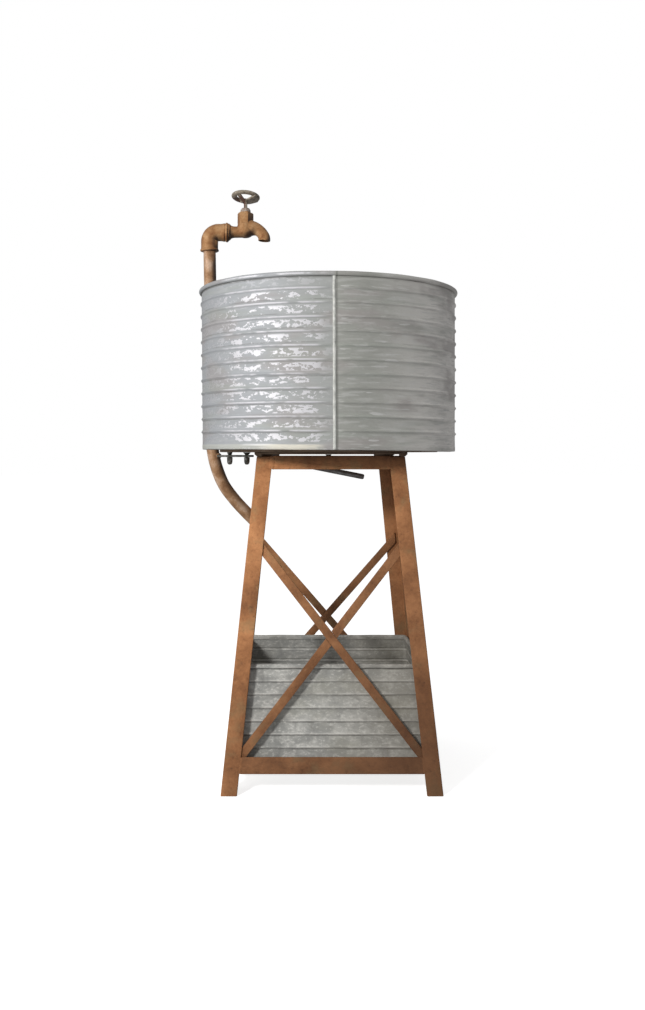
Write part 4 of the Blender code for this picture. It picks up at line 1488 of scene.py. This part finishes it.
@dataclass
class Stand(Assembly):
    """The rusted stand: legs, rails, crossed braces, seat bars and spacers, with their welds."""

    base_half: float = 0.1688
    splay: float = 0.1029
    top: float = 0.5141
    pad_foot: float = 0.5148
    flange: float = 0.025
    trimmed_flange: float = 0.019
    edge: float = 0.0006
    rolled_edge: float = 0.0013
    rail_rise: float = 0.0012
    top_rail_height: float = 0.0202
    bottom_rail_foot: float = 0.0326
    bottom_rail_height: float = 0.0252
    weld_half: float = 0.0033
    top_weld_half: float = 0.0048
    weld_flat: float = 0.40
    weld_steps: int = 26
    weld_stray: float = 0.0004
    weld_inset: float = 0.0006
    spacer_radius: float = 0.0047
    spacer_waist: float = 0.0034
    spacer_shift: float = 0.004
    spacer_depth: float = 0.0100
    spacer_gap: float = 0.0003
    spacer_steps: int = 12
    seat_foot: float = 0.5176

    def half_at(self, height: float) -> float:
        """Half the stand's outer width at a height."""
        return self.base_half - self.splay * height

    def bars(self) -> None:
        """Round the edges of every bar, on a merged copy of its plain solid."""
        palette = self.palette
        kinds = {"leg_": (self.rolled_edge, 4, palette.rust),
                 "top_rail_": (self.rolled_edge, 4, palette.rust),
                 # Bottom rails and braces take the darker rust copy, painted shade.
                 "bottom_rail_": (self.rolled_edge, 4, palette.bars),
                 "brace_": (self.edge, 3, palette.bars), "seat_bar_": (self.edge, 2, palette.band)}
        for name in sorted(self.nodes):
            for start, (width, segments, finish) in kinds.items():
                if name.startswith(start):
                    bm = copied(self.nodes[name])
                    soften(bm, width, segments)
                    for vertex in bm.verts:
                        vertex.co.z = self.closed_up(start, vertex.co.z)
                    set_down(f"{name}_bar", bm, finish, Slot.RUST, [name])

    def closed_up(self, start: str, height: float) -> float:
        """Close most of the joint at the top: pads down onto the legs, rails up to the seat.

        Args:
            start: The kind of bar.
            height: A point's height.

        Returns:
            Its new height.
        """
        if start == "seat_bar_" and height < self.pad_foot:
            return self.top
        if start == "top_rail_" and height > self.top - self.rolled_edge:
            return height + self.rail_rise
        return height

    def welds(self) -> None:
        """Weld each joint of a leg and a rail: proud at the top, ground flat below."""
        low, high = self.bottom_rail_foot, self.bottom_rail_foot + self.bottom_rail_height
        rows = (Bead(self.top - self.top_rail_height, self.top, self.top_weld_half, 0.0, 0.0010),
                Bead(low, high, self.weld_half, 0.0001, 0.0001))
        beads = []
        for index in range(len(SIDES)):
            for hand in (-1, 1):
                narrow = SIDES[index] == "back" and hand == 1
                flange = self.trimmed_flange if narrow else self.flange
                for row in rows:
                    bead = self.weld(hand, flange, row, index + hand)
                    bead.transform(Matrix.Rotation(index * pi / 2, 4, "Z"))
                    beads.append(bead)
        set_down("welds", merged(beads), self.palette.rust, Slot.RUST, smooth=radians(60))

    def weld(self, hand: int, flange: float, row: Bead, seed: float) -> bmesh.types.BMesh:
        """Sweep one flat bead on the front side, sunk in the joint.

        Args:
            hand: -1 for the left joint, 1 for the right one.
            flange: Width of the leg's flange.
            row: The bead's sizes.
            seed: Shift of its unevenness.

        Returns:
            The closed bead.
        """
        foot, head = row.foot + self.weld_inset, row.head - self.weld_inset
        depth = row.width * self.weld_flat - row.proud
        path, radii = [], []
        for index in range(self.weld_steps + 1):
            height = foot + (head - foot) * index / self.weld_steps
            half = self.half_at(height)
            stray = self.weld_stray * noise.noise(Vector((seed * 3.7, height * 300, 1.0)))
            path.append(Vector((hand * (half - flange - row.aside + stray), -half + depth,
                                height)))
            closing = min(1.0, 0.80 + 0.10 * min(index, self.weld_steps - index))
            radii.append(row.width * closing * (1.0 + 0.05 * sin(index * 2.1 + seed)))
        return swept(path, radii, 16, self.weld_flat)

    def spacers(self) -> None:
        """Spin the waisted spacers between the top rails and the seat bars."""
        foot, top = self.top + self.spacer_gap, self.seat_foot - self.spacer_gap
        waist = []
        for index in range(self.spacer_steps + 1):
            share = index / self.spacer_steps
            pinch = 1.0 - (2 * share - 1) ** 2
            waist.append((self.spacer_radius - (self.spacer_radius - self.spacer_waist) * pinch,
                          foot + (top - foot) * share))
        depth = self.half_at(self.top) - self.spacer_depth
        for name, hand in (("front", -1), ("back", 1)):
            bm = spun([(0.0, foot), *waist, (0.0, top)], 32)
            bm.transform(Matrix.Translation((hand * self.spacer_shift, hand * depth, 0.0)))
            set_down(f"spacer_{name}", bm, self.palette.band, Slot.IRON, [f"seat_spacer_{name}"])

    def build(self) -> None:
        """Build the whole stand."""
        self.bars()
        self.welds()
        self.spacers()


@dataclass
class Riser(Assembly):
    """The bent riser pipe with its elbow, bracket and bolts."""

    radius: float = 0.0108
    splay: float = 0.1029
    base_half: float = 0.1688
    leg_gap: float = 0.0003
    top: Vector = Vector((-0.2069, 0.0925, 0.8747))
    at_bracket: Vector = Vector((-0.2005, 0.0928, 0.520))
    slant: Vector = Vector((-0.1627, 0.1035, 0.4365))
    foot: Vector = Vector((-0.1285, 0.1150, 0.3990))
    dents: Dents = Dents(0.00022, 0.020, 1.7)
    elbow_radius: float = 0.0150
    elbow_bend: float = 0.0160
    elbow_axis: float = 0.9081
    elbow_end: float = -0.1736
    elbow_steps: int = 16
    elbow_dents: Dents = Dents(0.00020, 0.012, 5.2)
    flange_radius: float = 0.0164
    flange: tuple[Point, ...] = ((0.0, -0.0010), (0.0006, -0.0003), (0.0012, 0.0), (0.0028, 0.0),
                                 (0.0034, -0.0006), (0.0040, -0.0012), (0.0056, -0.0014))
    rings: tuple[Point, ...] = (
        (-0.0140, 0.0), (-0.0118, 0.0001), (-0.0095, 0.0005), (-0.0075, 0.0009),
        (-0.0065, 0.0009), (-0.0059, 0.0003), (-0.0053, 0.0003), (-0.0047, 0.0010),
        (-0.0039, 0.0017), (-0.0024, 0.0019), (-0.0015, 0.0015), (-0.0007, 0.0010), (0.0, 0.0003))
    bracket_height: float = 0.5147
    bracket_edge: float = 0.0005
    weld_size: tuple[float, float, float] = (0.0034, 0.0080, 0.0052)
    weld_dents: Dents = Dents(0.0005, 0.005, 2.2)
    bolt_reaches: tuple[float, float] = (0.0223, 0.0560)
    bolt_foot: float = 0.4996
    nut_half: float = 0.0020

    def pipe(self) -> None:
        """Sweep the pipe and cut it where it meets the back left leg."""
        points = [self.top - Vector((0, 0, 0.0003)), Vector((-0.2014, 0.0926, 0.570)),
                  self.at_bracket, Vector((-0.1863, 0.0960, 0.4722)), self.slant, self.foot,
                  self.foot + (self.foot - self.slant) * 0.6]
        path = curve_through(points, 14)
        bm = swept(path, [self.radius] * len(path), 32)
        face = Vector((-1.0, 0.0, self.splay)).normalized()
        bmesh.ops.bisect_plane(bm, geom=bm.verts[:] + bm.edges[:] + bm.faces[:],
                               plane_co=Vector((-self.base_half, 0.0, 0.0)) + face * self.leg_gap,
                               plane_no=-face, clear_outer=True)
        cap(bm)
        self.dents.press(bm)
        set_down("pipe_bent", bm, self.palette.pipe, Slot.PIPE, ["riser_pipe"])

    def elbow(self) -> None:
        """Sweep the cast elbow, with a flange below and two rings and a groove at its end."""
        x, y, foot = self.top
        bend = self.elbow_bend
        path = [Vector((x, y, foot + up)) for up, _ in self.flange]
        radii = [self.flange_radius + more for _, more in self.flange]
        for index in range(1, self.elbow_steps + 1):
            turn = pi / 2 * index / self.elbow_steps
            path.append(Vector((x + bend * (1 - cos(turn)), y,
                                self.elbow_axis - bend * (1 - sin(turn)))))
            radii.append(self.elbow_radius)
        path += [Vector((self.elbow_end + along, y, self.elbow_axis)) for along, _ in self.rings]
        radii += [self.elbow_radius + more for _, more in self.rings]
        bm = swept(path, radii, 40)
        self.elbow_dents.press(bm)
        set_down("elbow_cast", bm, self.palette.tap, Slot.PIPE, ["pipe_elbow"])

    def bracket(self) -> None:
        """Make the bracket bar, the weld on the pipe and the two bolts with their cone nuts."""
        bm = copied(self.nodes["pipe_bracket"])
        soften(bm, self.bracket_edge)
        set_down("bracket_bar", bm, self.palette.iron, Slot.RUST, ["pipe_bracket"])
        start = Vector((*self.at_bracket.xy, self.bracket_height))
        inward = -Vector((*self.at_bracket.xy, 0.0)).normalized()
        bm = bmesh.new()
        bmesh.ops.create_icosphere(bm, subdivisions=4, radius=1.0)
        turn = inward.to_track_quat("X", "Z").to_matrix().to_4x4()
        bm.transform(Matrix.Translation(start + inward * (self.radius + 0.0002)) @ turn
                     @ Matrix.Diagonal((*self.weld_size, 1.0)))
        self.weld_dents.press(bm)
        set_down("bracket_weld", bm, self.palette.pipe, Slot.PIPE)
        for name, reach in zip(("outer", "inner"), self.bolt_reaches):
            centre = start + inward * (reach + self.radius)
            bm = spun(self.bolt_profile(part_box(f"bracket_bolt_{name}")[1].z), 28)
            bm.transform(Matrix.Translation((centre.x, centre.y, 0.0)))
            set_down(f"bolt_{name}", bm, self.palette.iron, Slot.IRON, [f"bracket_bolt_{name}"])

    def bolt_profile(self, top: float) -> list[Point]:
        """Draw a bolt: a cone nut over the bracket and a rounded head that hangs under it.

        Args:
            top: Height of the nut's top.

        Returns:
            Points as (radius, height), from the top down.
        """
        over, under = self.bracket_height + self.nut_half, self.bracket_height - self.nut_half
        foot = self.bolt_foot
        return [(0.0, top), (0.0064, top), (0.0064, top - 0.0005), (0.0037, over + 0.0008),
                (0.0034, over), (0.0027, over), (0.0027, under), (0.0044, under),
                (0.0050, under - 0.0006), (0.0048, foot + 0.0052), (0.0043, foot + 0.0030),
                (0.0035, foot + 0.0012), (0.0022, foot + 0.0003), (0.0, foot)]

    def build(self) -> None:
        """Build the whole riser."""
        self.pipe()
        self.elbow()
        self.bracket()


@dataclass
class Tap(Assembly):
    """The cast tap: flowing body with spout, hexagon bonnet, gland nut, stem and handwheel."""

    seat: Vector = Vector((-0.1733, 0.0925, 0.9088))
    roll: float = radians(-10.0)
    spindle_x: float = 0.0294
    inlet_steps: tuple[Point, ...] = ((0.0006, 0.0108), (0.0012, 0.0112), (0.0040, 0.0112),
                                      (0.0060, 0.0108), (0.0090, 0.0100), (0.0180, 0.0098),
                                      (0.0294, 0.0098))
    trunk_radius: float = 0.0142
    trunk_foot: float = -0.0097
    trunk_dome: float = 0.0085
    trunk_top: float = 0.0225
    spout_course: tuple[tuple[float, float, float], ...] = (
        (0.0294, 0.0080, 0.0130), (0.0396, 0.0072, 0.0134), (0.0466, 0.0060, 0.0120),
        (0.0530, 0.0030, 0.0105), (0.0586, -0.0024, 0.0101), (0.0622, -0.0092, 0.0104),
        (0.0628, -0.0128, 0.0106), (0.0626, -0.0165, 0.0108))
    levelled_below: tuple[float, float] = (0.006, 0.0150)
    bore_heading: Vector = Vector((-0.03, 0.0, -1.0))
    bore_shift: float = 0.0008
    bore: tuple[Point, ...] = ((-0.0080, 0.0074), (-0.0010, 0.0084), (0.0040, 0.0090))
    collar: tuple[Point, ...] = (
        (0.0098, 0.0), (0.0146, 0.0), (0.0150, 0.0004), (0.0147, 0.0012), (0.0138, 0.0024),
        (0.0129, 0.0034), (0.0124, 0.0039), (0.0114, 0.0042), (0.0112, 0.0052), (0.0108, 0.0064),
        (0.0098, 0.0070))
    hexagon_radius: float = 0.0146
    hexagon_turn: float = radians(20.0)
    hexagon_foot: float = 0.0126
    bonnet_shoulder: float = 0.0330
    bonnet_top: float = 0.0340
    bonnet_top_radius: float = 0.0132
    corner_rise: float = 0.0026
    corner_x: float = -0.012
    gland_radius: float = 0.0094
    gland_height: float = 0.0072
    gland_top: float = 0.0434
    stem_radius: float = 0.0031
    stem_collar: float = 0.0012
    stem_clear: float = 0.0116
    wheel_height: float = 0.0660
    wheel_tilt: float = radians(4.3)
    wheel_radius: float = 0.0203
    rim_half_width: float = 0.0050
    rim_half_height: float = 0.0034
    hub: tuple[Point, ...] = ((0.0, -0.0110), (0.0050, -0.0110), (0.0053, -0.0102),
                              (0.0050, -0.0060), (0.0046, -0.0048), (0.0030, -0.0042),
                              (0.0, -0.0040))
    dish: float = 0.0076
    spoke_sheet: float = 0.0032
    spoke_start: float = 0.0020
    spokes: tuple[tuple[float, float, float], ...] = (
        (113.0, 0.0030, 0.0036), (233.0, 0.0030, 0.0036), (353.0, 0.0072, 0.0142))
    voxel: float = 0.0007
    wheel_voxel: float = 0.00042

    @property
    def frame(self) -> Matrix:
        """The tap's frame: X along the inlet, Z up the spindle."""
        return Matrix.Translation(self.seat) @ Matrix.Rotation(self.roll, 4, "X")

    @property
    def spindle(self) -> Matrix:
        """The frame on the spindle."""
        return self.frame @ Matrix.Translation((self.spindle_x, 0.0, 0.0))

    def spout(self) -> tuple[list[Vector], list[float]]:
        """Draw the spout's curve, thick at the root.

        Returns:
            Its centre line, and its radius at each point.
        """
        path = curve_through([Vector((x, 0, up)) for x, up, _ in self.spout_course], 6)
        thick = curve_through([Vector((radius, 0, 0)) for *_, radius in self.spout_course], 6)
        return path, [spot.x for spot in thick]

    def hexagon(self, radius: float, foot: float, top: float) -> bmesh.types.BMesh:
        """Make a six-sided prism on the spindle, turned as the tap's flats are.

        Args:
            radius: Distance of its corners.
            foot: Height of its lower end.
            top: Height of its upper end.

        Returns:
            The prism.
        """
        bm = bmesh.new()
        raised = Matrix.Translation((0, 0, (foot + top) / 2))
        bmesh.ops.create_cone(bm, cap_ends=True, segments=6, radius1=radius, radius2=radius,
                              depth=top - foot,
                              matrix=raised @ Matrix.Rotation(self.hexagon_turn, 4, "Z"))
        return bm

    def level_mouth(self, bm: bmesh.types.BMesh) -> None:
        """Take the tap's roll out of the end of the spout, so that its mouth lies level.

        Args:
            bm: The spout or its bore, moved in place.
        """
        for vertex in bm.verts:
            share = ease(-vertex.co.z, *self.levelled_below)
            vertex.co.z -= tan(self.roll) * vertex.co.y * share

    def casting(self) -> None:
        """Melt inlet, trunk, flats and spout into one smooth casting, then bore the mouth."""
        inlet = swept([Vector((x, 0, 0)) for x, _ in self.inlet_steps],
                      [radius for _, radius in self.inlet_steps], 40)
        dome = [(self.trunk_radius * sin(turn), self.trunk_foot + self.trunk_dome * (1 - cos(turn)))
                for turn in (pi / 2 * index / 10 for index in range(11))]
        trunk = spun([*dome, (self.trunk_radius, self.hexagon_foot), (0.0, self.hexagon_foot)], 40)
        flats = self.hexagon(self.hexagon_radius - 0.0002, self.hexagon_foot - 0.0030,
                             self.trunk_top - 0.0010)
        for part in (trunk, flats):
            part.transform(Matrix.Translation((self.spindle_x, 0.0, 0.0)))
        path, radii = self.spout()
        nozzle = swept(path, radii, 40)
        self.level_mouth(nozzle)
        bm = merged([inlet, trunk, flats, nozzle])
        bm.transform(self.frame)
        made = set_down("tap_casting", bm, self.palette.tap, Slot.BRASS, ["tap_body"],
                        smooth=ROUND_SMOOTH)
        melt(made, self.voxel, 9)
        cutter = self.mouth_cutter(path[-1])
        drill = made.modifiers.new("drill", "BOOLEAN")
        drill.operation, drill.solver, drill.object = "DIFFERENCE", "EXACT", cutter
        settle(made, SHEET_SMOOTH)
        bpy.data.objects.remove(cutter)

    def mouth_cutter(self, mouth: Vector) -> bpy.types.Object:
        """Make the tool that bores the spout's mouth.

        Args:
            mouth: End of the spout's centre line.

        Returns:
            The tool, to be removed after use.
        """
        heading = self.bore_heading.normalized()
        start = mouth - Vector((self.bore_shift, 0.0, 0.0))
        bore = swept([start + heading * along for along, _ in self.bore],
                     [radius for _, radius in self.bore], 40)
        self.level_mouth(bore)
        bore.transform(self.frame)
        mesh = bpy.data.meshes.new("mouth_cutter")
        bore.to_mesh(mesh)
        bore.free()
        cutter = bpy.data.objects.new("mouth_cutter", mesh)
        bpy.context.collection.objects.link(cutter)
        return cutter

    def inlet_collar(self) -> None:
        """Spin the stepped collar where the tap screws into the elbow."""
        collar = spun(self.collar, 48, closed=True)
        collar.transform(self.frame @ Matrix.Rotation(pi / 2, 4, "Y"))
        set_down("tap_collar", collar, self.palette.tap, Slot.BRASS)

    def bonnet(self) -> None:
        """Make the hexagon bonnet with its chamfered top and its one raised corner."""
        bm = self.hexagon(self.hexagon_radius, self.hexagon_foot + 0.0040, self.bonnet_top)
        upper = [face for face in bm.faces if face.normal.z > 0.5]
        bmesh.ops.inset_region(bm, faces=upper,
                               thickness=self.hexagon_radius - self.bonnet_top_radius)
        for vertex in bm.verts:
            outer = vertex.co.xy.length > self.bonnet_top_radius + 0.0008
            if vertex.co.z > self.bonnet_top - 0.0001 and outer:
                vertex.co.z = self.bonnet_shoulder
            if vertex.co.x < self.corner_x and vertex.co.z > self.bonnet_shoulder - 0.0001:
                vertex.co.z += self.corner_rise
        soften(bm, 0.0010, 3, radians(20))
        bm.transform(self.spindle)
        set_down("bonnet_nut", bm, self.palette.tap, Slot.BRASS, ["tap_bonnet"])

    def gland(self) -> None:
        """Make the eight-sided gland nut with its round cap."""
        foot = self.bonnet_top + 0.0001
        raised = Matrix.Translation((0, 0, foot + self.gland_height / 2))
        nut = bmesh.new()
        bmesh.ops.create_cone(nut, cap_ends=True, segments=8, radius1=self.gland_radius,
                              radius2=self.gland_radius - 0.0004, depth=self.gland_height,
                              matrix=raised @ Matrix.Rotation(radians(10), 4, "Z"))
        soften(nut, 0.0006)
        round_cap = spun([(0.0, foot + 0.0068), (0.0080, foot + 0.0070),
                          (0.0074, self.gland_top - 0.0006), (0.0066, self.gland_top),
                          (0.0, self.gland_top)], 32)
        bm = merged([nut, round_cap])
        bm.transform(self.spindle)
        set_down("gland_top", bm, self.palette.gland, Slot.BRASS, ["gland_nut"])

    def stem(self) -> None:
        """Spin the stem with its collar under the wheel."""
        foot, top = self.gland_top + 0.0003, self.wheel_height - self.stem_clear
        thin, thick = self.stem_radius, self.stem_radius + self.stem_collar
        bm = spun([(0.0, foot), (thin, foot), (thin, top - 0.0014), (thick, top - 0.0010),
                   (thick, top - 0.0002), (thick - 0.0004, top), (0.0, top)], 28)
        bm.transform(self.spindle)
        set_down("stem", bm, self.palette.wheel, Slot.IRON, ["tap_stem"], Body.WHEEL)

    def spoke(self, turn: float, root: float, tip: float) -> bmesh.types.BMesh:
        """Make one flat spoke that climbs from the hub to the rim.

        Args:
            turn: Its place round the hub, in degrees.
            root: Half its width at the hub.
            tip: Half its width at the rim.

        Returns:
            The closed plate.
        """
        bm = bmesh.new()
        bmesh.ops.create_grid(bm, x_segments=10, y_segments=6, size=1.0)
        reach = self.wheel_radius - self.spoke_start
        for vertex in bm.verts:
            share = (vertex.co.x + 1) / 2
            half = root + (tip - root) * share ** 0.6
            vertex.co = Vector((self.spoke_start + reach * share, vertex.co.y * half,
                                self.dish * (share ** 1.2 - 1)))
        bmesh.ops.solidify(bm, geom=bm.faces[:], thickness=self.spoke_sheet)
        bmesh.ops.recalc_face_normals(bm, faces=bm.faces)
        bm.transform(Matrix.Rotation(radians(turn), 4, "Z"))
        return bm

    def wheel(self) -> None:
        """Melt the dished handwheel: broad rim, two narrow spokes and a wide one, and its hub."""
        rim = [(self.wheel_radius + self.rim_half_width * cos(turn),
                self.rim_half_height * sin(turn))
               for turn in (2 * pi * index / 16 for index in range(16))]
        bm = merged([spun(rim, 72, closed=True), spun(self.hub, 36),
                     *(self.spoke(*row) for row in self.spokes)])
        seated = self.spindle @ Matrix.Translation((0, 0, self.wheel_height))
        bm.transform(seated @ Matrix.Rotation(self.wheel_tilt, 4, "Y"))
        made = set_down("wheel_cast", bm, self.palette.wheel, Slot.IRON, ["handwheel"],
                        Body.WHEEL, ROUND_SMOOTH)
        melt(made, self.wheel_voxel, 5)
        settle(made, radians(60))

    def build(self) -> None:
        """Build the whole tap."""
        self.casting()
        self.inlet_collar()
        self.bonnet()
        self.gland()
        self.stem()
        self.wheel()


# Studio


@dataclass(frozen=True)
class Lamp:
    """A rectangular light: its place, its size, its power, and whether gloss shows it."""

    name: str
    place: Vector
    size: Point
    power: float
    glossy: bool


@dataclass
class Studio:
    """The pale floor, the soft light and the camera of the photograph."""

    camera_place: Vector = Vector((-0.053, -1.748, 0.5164))
    lens: float = 37.25
    sensor: float = 36.0
    shift: Point = (0.02525, -0.0495)
    clip: tuple[float, float] = (0.05, 60.0)
    lamps: tuple[Lamp, ...] = (
        Lamp("key", Vector((-1.01, -1.82, 1.12)), (0.27, 0.27), 35.5, False),
        Lamp("side", Vector((-1.70, -1.15, 0.95)), (1.0, 1.3), 8.0, True))
    lamp_colour: Colour = (1.0, 0.99, 0.97)
    aim: Vector = Vector((0.0, 0.0, 0.50))
    sky_level: float = 0.315
    left_band: Band = (-0.2, -1.0)
    left_more: float = 0.12
    right_band: Band = (0.50, 0.95)
    right_less: float = 0.03
    below_band: Band = (-0.6, 0.1)
    below: Band = (1.04, 1.00)
    above_band: Band = (0.3, 1.0)
    above_more: float = 0.25
    floor_radius: float = 25.0

    def camera(self) -> None:
        """Set up the camera."""
        data = bpy.data.cameras.new("camera")
        data.lens, data.sensor_width = self.lens, self.sensor
        data.shift_x, data.shift_y = self.shift
        data.clip_start, data.clip_end = self.clip
        camera = bpy.data.objects.new("camera", data)
        camera.location = self.camera_place
        camera.rotation_euler = (radians(90), 0.0, 0.0)
        bpy.context.collection.objects.link(camera)
        bpy.context.scene.camera = camera

    def light(self, lamp: Lamp) -> None:
        """Set up one light that looks at the part.

        Args:
            lamp: The light's place and strength.
        """
        data = bpy.data.lights.new(lamp.name, "AREA")
        data.shape, data.size, data.size_y = "RECTANGLE", *lamp.size
        data.energy, data.color = lamp.power, self.lamp_colour
        made = bpy.data.objects.new(lamp.name, data)
        made.location = lamp.place
        made.rotation_euler = (self.aim - lamp.place).to_track_quat("-Z", "Y").to_euler()
        made.visible_glossy = lamp.glossy
        bpy.context.collection.objects.link(made)

    def sky(self) -> None:
        """Light the surroundings softly, darker to the right, and show them white."""
        world = bpy.data.worlds.new("studio")
        world.use_nodes = True
        bpy.context.scene.world = world
        graph = Graph(world.node_tree)
        direction = graph.node("ShaderNodeTexCoord", output="Generated")
        across, up = graph.axis(direction, "X"), graph.axis(direction, "Z")
        level = across.step(*self.left_band) * self.left_more + self.sky_level
        level = level - across.step(*self.right_band) * self.right_less
        level = level * (up.step(*self.below_band).spread(*self.below)
                         + up.step(*self.above_band) * self.above_more)
        seen = graph.node("ShaderNodeLightPath", output="Is Camera Ray")
        background = world.node_tree.nodes["Background"]
        graph.feed(background.inputs["Strength"], level * (1 - seen) + seen)
        background.inputs["Color"].default_value = (1.0, 1.0, 1.0, 1.0)

    def floor(self) -> None:
        """Lay the pale floor."""
        bm = bmesh.new()
        bmesh.ops.create_circle(bm, cap_ends=True, radius=self.floor_radius, segments=64)
        mesh = bpy.data.meshes.new("floor")
        bm.to_mesh(mesh)
        bm.free()
        mesh.materials.append(Plain("studio_floor").make())
        floor = bpy.data.objects.new("floor", mesh)
        bpy.context.collection.objects.link(floor)
        floor.visible_diffuse = False
        floor.visible_glossy = False

    def build(self) -> None:
        """Build the studio."""
        bpy.context.scene.view_settings.view_transform = "Standard"
        self.camera()
        for lamp in self.lamps:
            self.light(lamp)
        self.sky()
        self.floor()


def main() -> None:
    """Load the frame, build every sub-assembly and note the sizes."""
    logging.basicConfig(level=logging.INFO, format="%(message)s")
    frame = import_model()
    nodes: Nodes = frame["nodes"]
    palette = Palette()
    Studio().build()
    for assembly in (Stand, Tub, Trough, Riser, Tap):
        assembly(palette, nodes).build()
        log.info("%s is built", assembly.__name__)


if __name__ == "__main__":
    main()
